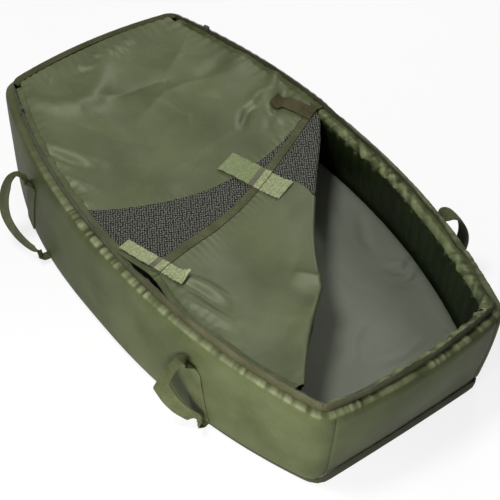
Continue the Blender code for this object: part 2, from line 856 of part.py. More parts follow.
def build_mesh_corner():
    def seam(v):
        return seam_point(mix(SEAM_SPLIT + 0.004, 0.985, v)) + seam_normal(0.5) * SEW_GAP

    def fold(v):
        return fold_point(mix(MESH_T - MESH_STEP, MESH_LAST, v))

    def lip(u):
        travel = lip_curve(min(u + 0.02, 1)) - lip_curve(max(u - 0.02, 0))
        aside = Vector((-travel.y, travel.x)).normalized() * (SEW_GAP + 0.0004)
        if u == 0:
            return seam(0)
        if u == 1:
            return fold(0)
        return lip_curve(u) + aside

    def head(u):
        return seam(1).lerp(fold(1), u)

    top = patch(lip, head, seam, fold, steps(LIP_STEPS), steps(FLAP_ROWS // 2))
    rows = [[folded(p) for p in row + under_columns(t, 4)] for row, t in zip(top, mesh_row_ts())]
    cloth("cover_mesh_corner", rows, MESH, "mesh", flap_hinge()[0])


def build_tucked_tape():
    """Zip half along the folded-under border of the flap, from the foot end to the far side."""
    ts = [t for t in reversed(panel_row_ts()) if t < 0.968] + mesh_row_ts()
    line = [border_point(t) for t in ts]
    rows = []
    for i, point in enumerate(line):
        one = (point - line[i - 1]).normalized() if i else (line[1] - point).normalized()
        two = (line[i + 1] - point).normalized() if i < len(line) - 1 else one
        right = Vector((one.y, -one.x))
        bisector = (right + Vector((two.y, -two.x))).normalized()
        mitre = 1 / max(bisector.dot(right), 0.6)
        places = (SEW_GAP, (SEW_GAP + EDGE_TAPE) / 2, EDGE_TAPE)
        rows.append([folded(point + bisector * (place * mitre)) for place in places])
    cloth("flap_tucked_zip_tape", rows, CLOTH, "zip_tape", flap_hinge()[0])


# Roll-up straps sewn across the cross tape


def strap_rows(root, direction, normal, start, length, width, level, curl, count):
    """Rows of a strap limb lying on the cover, each row parallel to the cross tape."""
    across = Vector((-direction.y, direction.x))
    skew = -across.dot(normal) / direction.dot(normal)
    rows = []
    for i in range(count + 1):
        f = i / count
        row = []
        for k in (-1, 0, 1):
            side = across + direction * skew * (1 - 0.7 * f if length > CROSS_TAPE * 1.3 else 1)
            spot = root + direction * (start + length * f) + side * (width / 2 * k)
            row.append(on_cover(spot, level + curl(f, k)))
        rows.append(row)
    return rows


STRAPS = {
    "near": (0.060, NEAR_STRAP_WIDTH, (-0.970, -0.243)),
    "middle": (0.560, STRAP_WIDTH, (-0.998, -0.058)),
    "far": (0.930, STRAP_WIDTH * 0.6, (-0.960, -0.020)),
}


ANCHOR_LEVEL = (MESH + CLOTH) / 2 + SEW_GAP + (CLOTH + WEBBING) / 2 + SEW_GAP
LOOP_LEVEL = ANCHOR_LEVEL + (HOOK_TAPE - WEBBING) / 2
HOOK_LEVEL = (CLOTH + HOOK_TAPE) / 2 + SEW_GAP


def flat_lie(f, k):
    return 0


def strap_layout(name):
    """Root, direction, seam normal, width and reach over the cross tape of one strap."""
    u, width, heading = STRAPS[name]
    direction = Vector(heading).normalized()
    normal = seam_normal(u)
    over = (CROSS_TAPE + 0.002) / abs(direction.dot(normal))
    return seam_point(u), direction, normal, width, over


def strap_axis(name, limb):
    """Both ends of the line that a limb lifts about, along the upper edge of its root."""
    root, direction, normal, width, over = strap_layout(name)
    if limb == "loop":
        way, start, level = direction, over + GAP, LOOP_LEVEL
    else:
        way, start, level = -direction, GAP, HOOK_LEVEL
    level += HOOK_TAPE / 2
    row = strap_rows(root, way, normal, start, 0, width, level, flat_lie, 1)[0]
    return row[0], row[2]


def build_strap(name):
    root, direction, normal, width, over = strap_layout(name)
    rows = strap_rows(root, direction, normal, 0, over, width, ANCHOR_LEVEL, flat_lie, 3)
    cloth(f"{name}_strap_anchor", rows, WEBBING, "strap_web")

    def lie(f, k):
        return 0.0016 * math.sin(3 * math.pi * f) ** 2

    start = over + 2 * GAP
    rows = strap_rows(root, direction, normal, start, LOOP_LENGTH, width, LOOP_LEVEL, lie, 6)
    one, two = strap_axis(name, "loop")
    cloth(f"{name}_strap_loop_tape", rows, HOOK_TAPE, "hook_loop", (one + two) / 2)
    if name == "far":
        return

    def curled(f, k):
        ripple = 0.0018 * math.sin(5 * math.pi * f) ** 2 * smooth(4 * f)
        lift = 0.012 * smooth((f - 0.5) * 2) * (1 if name == "near" else 0.3)
        return ripple + lift * (0.6 + 0.4 * k)

    rows = strap_rows(root, -direction, normal, 3 * GAP, HOOK_LENGTH, width, HOOK_LEVEL, curled, 8)
    one, two = strap_axis(name, "hook")
    cloth(f"{name}_strap_hook_tape", rows, HOOK_TAPE, "hook_loop", (one + two) / 2)


def build_end_tab():
    """Small webbing tab over the far end of the zip, at the head corner."""
    rows = []
    for i in range(5):
        x = END_TAB_START + END_TAB_LENGTH * i / 4 - RIM_LENGTH / 2
        insets = (COVER_EDGE, COVER_EDGE + END_TAB_WIDTH)
        rows.append([on_cover(far_edge(x, inset), CLOTH + SEW_GAP) for inset in insets])
    cloth("far_zip_end_tab", rows, CLOTH, "webbing")


# Handles

# Side, X of the loop's upper and lower ends and of the strip's foot, swing in degrees, how
# far the loop stands out, how limp it hangs, and how its webbing turns at the outermost
# point: the direction of its breadth, in shares of the loop's reach, rise and width.
HANDLES = {
    "near_head": (-1, -0.282, -0.222, -0.310, 48, 0.053, 0, (-0.71, 0.29, 0.64)),
    "near_foot": (-1, 0.241, 0.272, 0.266, 39, 0.049, 0, (-0.82, 0.48, 0.31)),
    "far_head": (1, -0.282, -0.222, -0.310, -40, 0.058, 0.6, (0.0, 0.0, 1.0)),
    "far_foot": (1, 0.241, 0.256, 0.258, -15, 0.054, 0, (0.0, 0.0, 1.0)),
}

# Route of a loop from its upper end to its lower one: shares of its reach and its height
HANDLE_ROUTE = [
    (0.00, 1.00),
    (0.00, 1.015),
    (0.03, 1.04),
    (0.14, 1.07),
    (0.34, 1.07),
    (0.60, 1.00),
    (0.83, 0.87),
    (0.97, 0.71),
    (0.99, 0.55),
    (0.88, 0.40),
    (0.68, 0.26),
    (0.44, 0.15),
    (0.22, 0.08),
    (0.08, 0.05),
    (0.02, 0.035),
    (0.00, 0.015),
    (0.00, 0.00),
]

# Route of the near foot loop, which is folded flat and so turns sharply
CREASED = "near_foot"
CREASED_ROUTE = [
    (0.00, 1.00),
    (0.00, 1.015),
    (0.04, 1.035),
    (0.20, 1.02),
    (0.55, 0.90),
    (0.90, 0.73),
    (1.00, 0.67),
    (0.97, 0.61),
    (0.80, 0.40),
    (0.56, 0.18),
    (0.28, 0.05),
    (0.08, 0.03),
    (0.02, 0.025),
    (0.00, 0.015),
    (0.00, 0.00),
]


def wall_face(sign, x, z, out):
    """Point on the outside of a side wall, a distance out from the cloth."""
    outline = wall_outline(-belly(z), z)
    step = 0.001
    slope = (outline.side(x + step) - outline.side(x - step)) / (2 * step)
    normal = Vector((-slope, 1, 0)).normalized()
    spot = Vector((x, outline.side(x), z)) + normal * out
    return Vector((spot.x, sign * spot.y, z))


def handle_axis(name):
    """Lower and upper points of the line that a handle swings about."""
    sign, x_top, x_low = HANDLES[name][:3]
    return (
        wall_face(sign, x_low, HANDLE_LOW, HANDLE_STANDOFF),
        wall_face(sign, x_top, HANDLE_TOP, HANDLE_STANDOFF),
    )


def spline(points, count):
    """Evenly counted points on a smooth curve through hand-placed ones."""
    padded = [points[0]] + points + [points[-1]]
    result = []
    for i in range(count + 1):
        place = i / count * (len(points) - 1)
        k = min(int(place), len(points) - 2)
        t = place - k
        a, b, c, d = padded[k : k + 4]
        result.append(
            0.5 * (2 * b + (c - a) * t + (2 * a - 5 * b + 4 * c - d) * t * t + (3 * b - 3 * c + d - a) * t**3)
        )
    return result


def drooped(r, a, droop):
    """Height of a point on a loop that hangs limp by a share of its own height."""
    return max(a - droop * smooth(r), min(a, HANDLE_ROUTE[-2][1]))


def ribbon_row(centre, across, width):
    return [centre + across * (width / 2 * k) for k in (-1, 0, 1)]


def build_handle(name):
    sign, x_top, x_low, x_foot, swing, extent, droop, twist = HANDLES[name]
    low, top = handle_axis(name)
    rise = (top - low).normalized()
    out = Vector((0, sign, 0))
    turn = math.radians(swing)
    reach = out * math.cos(turn) + Vector((-1, 0, 0)) * math.sin(turn)
    reach = (reach - rise * reach.dot(rise)).normalized()
    across = rise.cross(reach)
    if across.x < 0:
        across = -across
    length = (top - low).length
    shares = CREASED_ROUTE if name == CREASED else HANDLE_ROUTE
    route = [low + reach * (r * extent) + rise * (drooped(r, a, droop) * length) for r, a in shares]
    twisted = reach * twist[0] + rise * twist[1] + across * twist[2]
    rows = []
    count = 26
    points = spline(route, count)
    for i, point in enumerate(points):
        f = min(i, count - i) / count
        width = mix(HANDLE_END_WEB, HANDLE_WEB, smooth((f - 0.05) * 6))
        if name == CREASED:
            breadth = mix(across, twisted, smooth(4 * f - 0.3)).normalized()
        else:
            along = (points[min(i + 1, count)] - points[max(i - 1, 0)]).normalized()
            flat = (twisted - along * twisted.dot(along)).normalized()
            turned = smooth(4 * i / count - 0.3) * smooth(8 - 8 * i / count - 0.3)
            breadth = mix(across, flat, turned).normalized()
        rows.append(ribbon_row(point, breadth, width))
    cloth(f"{name}_handle_loop", rows, WEBBING, "webbing", low)

    # The strip is sewn flat up the wall and curls out at the top to meet the loop.
    seat = SEW_GAP + WEBBING / 2
    lean = (x_top - x_foot) / (HANDLE_TOP - BASE_HEIGHT)
    rows = []
    for z in (0.020, 0.050, 0.080, 0.110, 0.135):
        x = x_top + (z - HANDLE_TOP) * lean
        rows.append([wall_face(sign, x + HANDLE_WEB / 2 * k, z, seat) for k in (-1, 0, 1)])
    for z, stand, width in ((0.144, 0.0022, 0.033), (0.151, 0.0062, 0.027)):
        rows.append([wall_face(sign, x_top + width / 2 * k, z, stand) for k in (-1, 0, 1)])
    rows.append(ribbon_row(top - rise * 0.0050, across, HANDLE_END_WEB))
    rows.append(ribbon_row(top - rise * GAP, across, HANDLE_END_WEB))
    cloth(f"{name}_handle_strip", rows, WEBBING, "webbing")

    # The tail comes out between the base and the wall and turns up to meet the loop.
    level = BASE_HEIGHT - GAP - WEBBING / 2
    half = HANDLE_END_WEB / 2
    base = base_outline(0)
    rows = []
    places = [x_low + half * k for k in (-1, 0, 1)]
    rows.append([Vector((x, sign * (base.side(x) + GAP), level)) for x in places])
    for z, stand in ((level, 0.000), (level, 0.0070), (level + 0.0012, 0.0105)):
        row = [wall_face(sign, x, BASE_HEIGHT, stand) for x in places]
        rows.append([Vector((point.x, point.y, z)) for point in row])
    rows.append(ribbon_row(low - rise * 0.0050, across, HANDLE_END_WEB))
    rows.append(ribbon_row(low - rise * GAP, across, HANDLE_END_WEB))
    cloth(f"{name}_handle_tail", rows, WEBBING, "webbing")


build_floor()
build_walls()
build_rim()
for side_name in ("near", "far"):
    build_slider(side_name)
build_head_panel()
build_mesh_and_tape()
build_edge_tapes()
build_foot_panel()
build_mesh_corner()
build_tucked_tape()
for strap_name in STRAPS:
    build_strap(strap_name)
build_end_tab()
for handle_name in HANDLES:
    build_handle(handle_name)
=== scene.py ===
"""Looks of the padded carp cradle: coated nylon tub, zip-edged cover, net, straps and webbing.

Metres, +Z up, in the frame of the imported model. X runs from the head end (-X), where the
cover is sewn on, to the foot end (+X). The near side is -Y and the far side is +Y.
"""

import math

import bmesh
import bpy
import numpy as np
from mathutils import Matrix, Vector


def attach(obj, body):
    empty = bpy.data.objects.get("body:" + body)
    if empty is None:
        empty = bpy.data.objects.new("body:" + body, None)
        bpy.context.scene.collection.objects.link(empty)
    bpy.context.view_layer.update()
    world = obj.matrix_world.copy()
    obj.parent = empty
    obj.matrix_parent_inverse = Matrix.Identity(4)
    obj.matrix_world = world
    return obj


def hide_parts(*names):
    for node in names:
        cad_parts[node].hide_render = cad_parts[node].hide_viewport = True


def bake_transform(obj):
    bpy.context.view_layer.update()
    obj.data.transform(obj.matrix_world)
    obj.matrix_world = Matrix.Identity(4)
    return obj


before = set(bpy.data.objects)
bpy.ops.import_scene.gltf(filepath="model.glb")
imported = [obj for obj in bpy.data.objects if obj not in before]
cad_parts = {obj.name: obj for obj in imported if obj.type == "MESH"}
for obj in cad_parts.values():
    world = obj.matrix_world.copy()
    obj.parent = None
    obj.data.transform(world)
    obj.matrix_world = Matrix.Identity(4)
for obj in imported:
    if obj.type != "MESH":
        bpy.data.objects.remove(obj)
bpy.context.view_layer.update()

# Sizes of the tub, as its pattern gives them
RIM_LENGTH, RIM_END_WIDTH, RIM_MID_WIDTH, RIM_FULLNESS = 1.000, 0.401, 0.580, 2.14
LOWER_LENGTH, LOWER_END_WIDTH, LOWER_MID_WIDTH = 0.970, 0.386, 0.593
LOWER_FULLNESS_HEAD, LOWER_FULLNESS_FOOT = 2.8, 2.2
BASE_LENGTH, BASE_END_WIDTH, BASE_MID_WIDTH = 0.978, 0.373, 0.580
END_BULGE, BASE_BULGE = 0.0187, 0.002
BASE_HEIGHT, WALL_HEIGHT, WALL_THICKNESS, WALL_BELLY = 0.014, 0.193, 0.0345, 0.003
CORNER_OUTER, CORNER_INNER, RIM_ROUND = 0.024, 0.010, 0.009
FLOOR_FOAM_THICKNESS, FLOOR_MAT_THICKNESS, MAT_CROWN = 0.030, 0.050, 0.0025
CLOTH, MESH, WEBBING, HOOK_TAPE = 0.0012, 0.0010, 0.0020, 0.0016
GAP, SEW_GAP = 0.0003, 0.0005
TAPE_STAND, COIL_DIAMETER = 0.018, 0.0022

# Sizes of the cover
COVER_LIFT, COVER_SAG, COVER_CLEARANCE, EDGE_TAPE = 0.006, 0.012, 0.0033, 0.012
HEAD_RISE, HEAD_TAPE, CROSS_TAPE = 0.0065, 0.020, 0.022
ARC_MIDDLE, ARC_SAGITTA = -0.035, 0.069
SEAM_NEAR_X, SEAM_FAR_X, SEAM_BOW, SEAM_STEPS = 0.092, -0.083, 0.024, 15
FOLD_FOOT_X, FOLD_RADIUS, FOLD_END_RADIUS, FOLD_PUCKER = 0.430, 0.006, 0.003, 0.018
HANG_RETREAT, CORNER_LIFT, NEAR_SLACK = 0.004, 0.005, 0.016
WALL_TOP = BASE_HEIGHT + WALL_HEIGHT
TAPE_INSET = WALL_THICKNESS / 2
SEAM_SHOWN = 0.018, 0.013  # of the cross tape at its ends; the rest lies under the net
COVER_EDGE = TAPE_INSET + COVER_CLEARANCE
PANEL_EDGE = COVER_EDGE + EDGE_TAPE + GAP
MAT_TOP = BASE_HEIGHT + FLOOR_FOAM_THICKNESS + FLOOR_MAT_THICKNESS + 2 * GAP

# Places round the tub, 60 to a turn: a side has 16, a corner 3 and an end 8
NEAR, FOOT, FAR, HEAD = (0, 16), (19, 27), (30, 46), (49, 57)


# Small sums on arrays


def mix(a, b, t):
    return a + (b - a) * t


def smooth(t):
    t = np.clip(t, 0, 1)
    return t * t * (3 - 2 * t)


def bump(value, centre, width):
    return np.exp(-(((value - centre) / width) ** 2))


def vec(*parts):
    return np.stack(np.broadcast_arrays(*parts), axis=-1).astype(float)


def unit(v):
    return v / np.maximum(np.linalg.norm(v, axis=-1, keepdims=True), 1e-9)


def noise(points, size, seed=0):
    """Smooth noise from -1 to 1 that changes over a given size."""
    p = np.asarray(points, float) / size + 61.7 * seed
    low = np.floor(p)
    f = p - low
    f = f * f * (3 - 2 * f)
    low = low.astype(np.int64)
    total = 0
    for corner in range(1 << p.shape[-1]):
        bits = [(corner >> k) & 1 for k in range(p.shape[-1])]
        key, weight = 0, 1
        for k, bit in enumerate(bits):
            key = key + (low[..., k] + bit) * (374761393, 668265263, 2147483647)[k]
            weight = weight * (f[..., k] if bit else 1 - f[..., k])
        key = (key ^ (key >> 13)) * 1274126177 & 0xFFFFFFFF
        key = (key ^ (key >> 16)) & 0xFFFFFFFF
        total = total + weight * (key / 2147483647.5 - 1)
    return total


def gathers(along, pitch, seed=0):
    """Uneven ripples of gathered cloth, from about -1 to 1, along a sewn edge."""
    along = np.asarray(along, float)[..., None]
    phase = 2 * math.pi * along[..., 0] / pitch + 2.6 * noise(along, 3.3 * pitch, seed)
    return np.sin(phase) * (0.65 + 0.45 * noise(along, 2.2 * pitch, seed + 5))


def puffs(along, seed):
    """Puckers of a sewn-down hem, from -1 to 1: some short and full, some long and flat."""
    along = np.asarray(along, float)[..., None]
    full = 0.55 * noise(along, 0.0095, seed) + 0.45 * noise(along, 0.0048, seed + 3)
    return np.clip(1.9 * full * (0.7 + 0.6 * noise(along, 0.09, seed + 6)), -1, 1)


def dense(points, spacing):
    """Evenly spaced samples on a smooth curve through given points."""
    points = np.asarray(points, float)
    padded = np.vstack([2 * points[0] - points[1], points, 2 * points[-1] - points[-2]])
    out = []
    for i in range(len(points) - 1):
        a, b, c, d = padded[i : i + 4]
        count = max(2, math.ceil(np.linalg.norm(c - b) / spacing))
        t = (np.arange(count) / count)[:, None]
        near, far = (c - a) / 2, (d - b) / 2
        reach = np.linalg.norm(c - b)
        near = near * min(1, reach / max(np.linalg.norm(near), 1e-9))
        far = far * min(1, reach / max(np.linalg.norm(far), 1e-9))
        h = (2 * t**3 - 3 * t**2 + 1, t**3 - 2 * t**2 + t, 3 * t**2 - 2 * t**3, t**3 - t**2)
        out.append(h[0] * b + h[1] * near + h[2] * c + h[3] * far)
    return np.vstack(out + [points[-1:]])


def path_distance(points, path):
    """Distance of plan points to a polyline, and the share of it passed."""
    path = np.asarray(path, float)
    lengths = np.linalg.norm(np.diff(path, axis=0), axis=1)
    best = np.full(points.shape[:-1], 1e9)
    share = np.zeros_like(best)
    done = 0
    for a, b, length in zip(path[:-1], path[1:], lengths):
        way = (b - a) / length
        t = np.clip((points - a) @ way, 0, length)
        off = points - (a + t[..., None] * way)
        gap = np.linalg.norm(off, axis=-1)
        closer = gap < best
        best = np.where(closer, gap, best)
        share = np.where(closer, (done + t) / lengths.sum(), share)
        done += length
    return best, share


# Plan outlines


class Outline:
    """Plan outline with bowed sides, inset by a distance at a height of the wall."""

    def __init__(self, inset, height=WALL_TOP, base=False):
        h = np.clip((height - BASE_HEIGHT) / WALL_HEIGHT, 0, 1)
        if base:
            length, end, middle = BASE_LENGTH, BASE_END_WIDTH, BASE_MID_WIDTH
            self.head, self.foot, self.bulge = LOWER_FULLNESS_HEAD, LOWER_FULLNESS_FOOT, BASE_BULGE
        else:
            length = mix(LOWER_LENGTH, RIM_LENGTH, h)
            end = mix(LOWER_END_WIDTH, RIM_END_WIDTH, h)
            middle = mix(LOWER_MID_WIDTH, RIM_MID_WIDTH, h)
            self.head = mix(LOWER_FULLNESS_HEAD, RIM_FULLNESS, h)
            self.foot = mix(LOWER_FULLNESS_FOOT, RIM_FULLNESS, h)
            self.bulge = mix(0.003, END_BULGE, smooth(h * 1.3))
        slope = (middle - end) * self.foot / length
        self.half = length / 2 - inset
        self.end = end / 2 - (np.hypot(1, slope) - slope) * inset
        self.middle = middle / 2 - inset

    def side(self, x):
        fullness = np.where(x < 0, self.head, self.foot)
        return mix(self.middle, self.end, np.clip(np.abs(x) / self.half, 0, 1) ** fullness)

    def tip(self, y):
        return self.half + self.bulge * (1 - np.clip(np.abs(y) / self.end, 0, 1) ** 2)


def ring(places, inset, height, base=False):
    """Points round the tub for places, an inset and a height, which broadcast together."""
    places, inset, height = np.broadcast_arrays(places, inset, height)
    form = Outline(inset, height, base)
    depth = np.clip(inset / WALL_THICKNESS, 0, 1)
    trim = CORNER_OUTER if base else mix(CORNER_OUTER, CORNER_INNER, depth)
    places = places % 60
    sign = np.where(places >= 30, -1.0, 1.0)
    p = places % 30
    x_end, y_end = form.half - trim, form.end - trim
    x = mix(-x_end, x_end, np.clip(p / 16, 0, 1))
    side = vec(x, -form.side(sign * x))
    y = mix(-y_end, y_end, np.clip((p - 19) / 8, 0, 1))
    tip = vec(form.tip(y), y)

    def corner(a, b, c, t):
        t = np.clip(t, 0, 1)[..., None]
        return (1 - t) ** 2 * a + 2 * t * (1 - t) * b + t * t * c

    one = corner(side, vec(form.half, -form.end), vec(form.tip(y_end), -y_end), (p - 16) / 3)
    last = vec(x_end, form.side(sign * x_end))
    two = corner(vec(form.tip(y_end), y_end), vec(form.half, form.end), last, (p - 27) / 3)
    p = p[..., None]
    flat = np.where(p <= 16, side, np.where(p < 19, one, np.where(p <= 27, tip, two)))
    return vec(flat[..., 0] * sign, flat[..., 1] * sign, height)


def even_places(start, end, spacing, inset=0.0, trim=GAP / 2):
    """Places from start to end, evenly spaced along the ring, short of the ends by a gap."""
    fine = np.linspace(start, end, int((end - start) * 80) + 1)
    points = ring(fine, inset, WALL_TOP)
    run = np.concatenate([[0], np.cumsum(np.linalg.norm(np.diff(points, axis=0), axis=1))])
    count = max(2, round(run[-1] / spacing))
    wanted = np.linspace(trim, run[-1] - trim, count + 1)
    return np.interp(wanted, run, fine), wanted


# Surfaces and pieces


def grid_normals(grid):
    return unit(np.cross(np.gradient(grid, axis=0), np.gradient(grid, axis=1)))


def make_mesh(name, verts, faces, material, uv=None, angle=55):
    mesh = bpy.data.meshes.new(name)
    mesh.from_pydata(np.asarray(verts).tolist(), [], faces)
    mesh.validate()
    mesh.update()
    if uv is not None:
        layer = mesh.uv_layers.new(name="UVMap")
        corners = np.zeros(len(mesh.loops), np.int32)
        mesh.loops.foreach_get("vertex_index", corners)
        layer.data.foreach_set("uv", np.asarray(uv, np.float32)[corners].ravel())
    mesh.shade_smooth()
    mesh.set_sharp_from_angle(angle=math.radians(angle))
    mesh.materials.append(material)
    made = bpy.data.objects.new(name, mesh)
    bpy.context.scene.collection.objects.link(made)
    return made


CUTS = {}  # flat size and area of each cloth
CUT_LEAST = 0.0102  # shortest side that a sheet's size is given


def cut_size(grid):
    """Longest run each way and the area of the cloth that a grid stands for."""
    rows = np.linalg.norm(np.diff(grid, axis=0), axis=2).sum(0).max()
    columns = np.linalg.norm(np.diff(grid, axis=1), axis=2).sum(1).max()
    one, two = grid[1:, 1:] - grid[:-1, :-1], grid[1:, :-1] - grid[:-1, 1:]
    area = np.linalg.norm(np.cross(one, two), axis=2).sum() / 2
    return max(float(rows), CUT_LEAST), max(float(columns), CUT_LEAST), float(area)


def shell(name, grid, thickness, material, relief=0.0):
    """Cloth through a grid of points, with its thickness and a map in metres along and across."""
    grid = np.asarray(grid, float)
    CUTS[name] = cut_size(grid)
    grid = grid + grid_normals(grid) * np.broadcast_to(relief, grid.shape[:2])[..., None]
    half = grid_normals(grid) * (thickness / 2)
    r, c = grid.shape[:2]
    along = np.linalg.norm(np.diff(grid, axis=0), axis=2).mean(1)
    across = np.linalg.norm(np.diff(grid, axis=1), axis=2).mean(0)
    u, v = np.concatenate([[0], np.cumsum(along)]), np.concatenate([[0], np.cumsum(across)])
    uv = vec(u[:, None], v[None, :]).reshape(-1, 2)
    verts = np.vstack([(grid + half).reshape(-1, 3), (grid - half).reshape(-1, 3)])
    index = np.arange(r * c).reshape(r, c)
    top = np.stack([index[:-1, :-1], index[1:, :-1], index[1:, 1:], index[:-1, 1:]], -1).reshape(-1, 4)
    faces = [top, top[:, ::-1] + r * c]
    for line, turn in ((index[:, 0], 1), (index[:, -1], -1), (index[0], -1), (index[-1], 1)):
        one, two = line[:-1], line[1:]
        faces.append(np.stack([one, one + r * c, two + r * c, two], -1)[:, ::turn])
    return make_mesh(name, verts, np.vstack(faces).tolist(), material, np.vstack([uv, uv]))


def settle(piece, body, slot, *nodes):
    """Put a finished piece on its body, in place of its nodes; its slot is not used."""
    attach(piece, body)
    finish_as(piece, slot, *nodes)


def finish_as(piece, slot, *nodes):
    if nodes:
        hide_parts(*nodes)


# Finishes


def hex_colour(text):
    """sRGB hex to the linear colour that shaders use."""
    parts = [int(text[i : i + 2], 16) / 255 for i in (0, 2, 4)]
    return tuple(c / 12.92 if c <= 0.04045 else ((c + 0.055) / 1.055) ** 2.4 for c in parts) + (1.0,)


def add(tree, kind, inputs=None, **settings):
    """One node with its settings, and its sockets filled by values or by links."""
    made = tree.nodes.new(kind)
    for key, value in settings.items():
        setattr(made, key, value)
    for key, value in (inputs or {}).items():
        socket = made.inputs[key]
        if isinstance(value, bpy.types.NodeSocket):
            tree.links.new(value, socket)
        else:
            socket.default_value = value
    return made


def reckon(tree, operation, one, two):
    return add(tree, "ShaderNodeMath", {0: one, 1: two}, operation=operation).outputs[0]


def mottle(tree, space, size, detail, **inputs):
    """Noise that changes over a size in metres."""
    inputs = {"Vector": space, "Scale": 1 / size, "Detail": detail, **inputs}
    return add(tree, "ShaderNodeTexNoise", inputs).outputs["Fac"]


def span(tree, value, low, high, first=0.0, last=1.0):
    """A value from low to high taken to a share from first to last."""
    inputs = {"Value": value, "From Min": low, "From Max": high, "To Min": first, "To Max": last}
    return add(tree, "ShaderNodeMapRange", inputs).outputs["Result"]


def tint(tree, share, one, two):
    return add(tree, "ShaderNodeMix", {"Factor": share, 6: one, 7: two}, data_type="RGBA").outputs[2]


def start_material(name):
    made = bpy.data.materials.new(name)
    made.use_nodes = True
    tree = made.node_tree
    place = add(tree, "ShaderNodeTexCoord")
    return made, tree, tree.nodes["Principled BSDF"], place.outputs


def dress(tree, shader, colour, height, strength, distance, **sockets):
    """Colour, grain and constants of a finish, put on its shader."""
    inputs = {"Height": height, "Strength": strength, "Distance": distance}
    grain = add(tree, "ShaderNodeBump", inputs)
    tree.links.new(colour, shader.inputs["Base Color"])
    tree.links.new(grain.outputs["Normal"], shader.inputs["Normal"])
    for key, value in sockets.items():
        shader.inputs[key.replace("_", " ")].default_value = value


FILM_TINT = "E8F0D8"  # the green that a coated film's shine takes on
THREAD_DEPTH = 0.55  # strength of the weave's grain


def woven(name, dark, light, pitch, roughness, relief, gloss=0.5, sheen=0.0, patch=0.11, hem=None):
    """Plain-woven cloth: crossing threads at a pitch, and slow changes of tone."""
    made, tree, shader, place = start_material(name)
    wave = 0.314 / pitch
    inputs = {"Vector": place["UV"], "Scale": wave}
    warp, weft = (add(tree, "ShaderNodeTexWave", inputs, bands_direction=way) for way in "XY")
    weave = reckon(tree, "MULTIPLY", warp.outputs["Fac"], weft.outputs["Fac"])
    slow = mottle(tree, place["Object"], patch, 3.0, Roughness=0.55)
    slub = mottle(tree, place["Object"], 2.6 * pitch, 2.0)
    tone = reckon(tree, "ADD", slow, reckon(tree, "MULTIPLY", slub, 0.35))
    tone = reckon(tree, "ADD", tone, reckon(tree, "MULTIPLY", weave, 0.22))
    colour = tint(tree, span(tree, tone, 0.45, 0.95), hex_colour(dark), hex_colour(light))
    # Colour laid on by the hem attribute: painted light on the walls' top strip, and on the lining the
    # paler strip above its painted shade
    if hem:
        edge = add(tree, "ShaderNodeAttribute", attribute_name="hem")
        colour = tint(tree, edge.outputs["Fac"], colour, hex_colour(hem))
    dress(tree, shader, colour, weave, THREAD_DEPTH, relief, Roughness=roughness, Specular_IOR_Level=gloss,
          Specular_Tint=hex_colour(FILM_TINT), Sheen_Weight=sheen, Sheen_Roughness=0.4)
    return made


# Polyurethane-coated nylon of the walls: a close plain weave under a satin film, about
# 0.5 mm a thread, drawn at 1.3 mm so that it shows. Its folded top edge is painted paler as
# painted light: painted sheen where it faces up and painted highlights on its puckers.
WALL_NYLON = woven("coated_nylon_wall", "393E25", "50563A", 0.0013, 0.50, 0.00022, 0.06, hem="7B8062")

# The same cloth on the cover, slack, so it shines more. Its copy is coloured lighter than the
# walls' copy, as painted light on the cover that faces up and painted shade on the walls.
COVER_NYLON = woven("coated_nylon_cover", "43492F", "5F6647", 0.0013, 0.45, 0.00022, 0.66, patch=0.16)

# Dyed nylon of the lining, less coated, darker than the walls' cloth and darkened further as painted
# shade inside the tub. The strip at its hem is paler, with painted highlights and shade over its puckers.
LINING_NYLON = woven("dyed_nylon_lining_painted_shade", "080C05", "1B260F", 0.0013, 0.40, 0.00022, 0.34, hem="6C7451")

# Soft grey-green polyester face of the mat, matt from its fine knit.
MAT_POLYESTER = woven("brushed_polyester_mat", "62665A", "707468", 0.0012, 0.60, 0.00012, 0.35, 0.05, 0.2)

# Coarse uncoated nylon under the base, dark and dull.
BASE_NYLON = woven("coarse_nylon_base", "2A2A1D", "403E2C", 0.0018, 0.75, 0.0004, 0.3)

# Ribbed polypropylene webbing of the handles: ribs along it, about 2 mm apart.
HANDLE_WEB = woven("ribbed_webbing_handle", "363A22", "555A3B", 0.0022, 0.74, 0.0007, 0.15, 0.05, 0.05)

# Grey-brown webbing sewn to the straps.
STRAP_WEB = woven("ribbed_webbing_strap", "4A483B", "716D5B", 0.0022, 0.75, 0.0007, 0.3, 0.1, 0.05)

# Plain brown back of the far strap, which lies face down.
STRAP_BACK = woven("ribbed_strap_back", "35321F", "514D35", 0.0022, 0.75, 0.0007, 0.2, 0.05, 0.05)

# Woven polyester zip and binding tape, brown-olive, with a rib every 2 mm.
ZIP_TAPE = woven("woven_zip_tape", "34331F", "4E4D35", 0.0020, 0.74, 0.0006, 0.25, 0.05, 0.05)

# The same tape in the cover's green, on the cover's own half of the zip.
COVER_TAPE = woven("woven_cover_tape", "424930", "5C6443", 0.0020, 0.66, 0.0006, 0.3, 0.05, 0.05)

# Olive polyester tape over the seam that the straps are stitched to.
SEAM_POLYESTER = woven("woven_seam_tape", "3E3F29", "5A5B3F", 0.0020, 0.70, 0.0006, 0.3, 0.05, 0.05)

# Closed-cell foam of the boards, pale grey and matt, hidden under the cloths.
FOAM = woven("closed_cell_foam", "6E6E68", "8A8A82", 0.0016, 0.95, 0.0004, 0.2)


def hook_and_loop(name, dark, light):
    """Nylon hook-and-loop tape: a rough pile drawn 2.2 mm a tuft, paler at the tips."""
    made, tree, shader, place = start_material(name)
    inputs = {"Vector": place["Object"], "Scale": 1 / 0.0022, "Randomness": 1.0}
    pile = add(tree, "ShaderNodeTexVoronoi", inputs).outputs["Distance"]
    tone = reckon(tree, "ADD", pile, mottle(tree, place["Object"], 0.005, 3.0))
    colour = tint(tree, span(tree, tone, 0.45, 1.15), hex_colour(light), hex_colour(dark))
    dress(tree, shader, colour, pile, 0.7, 0.0006, Roughness=0.85, Sheen_Weight=0.3)
    return made


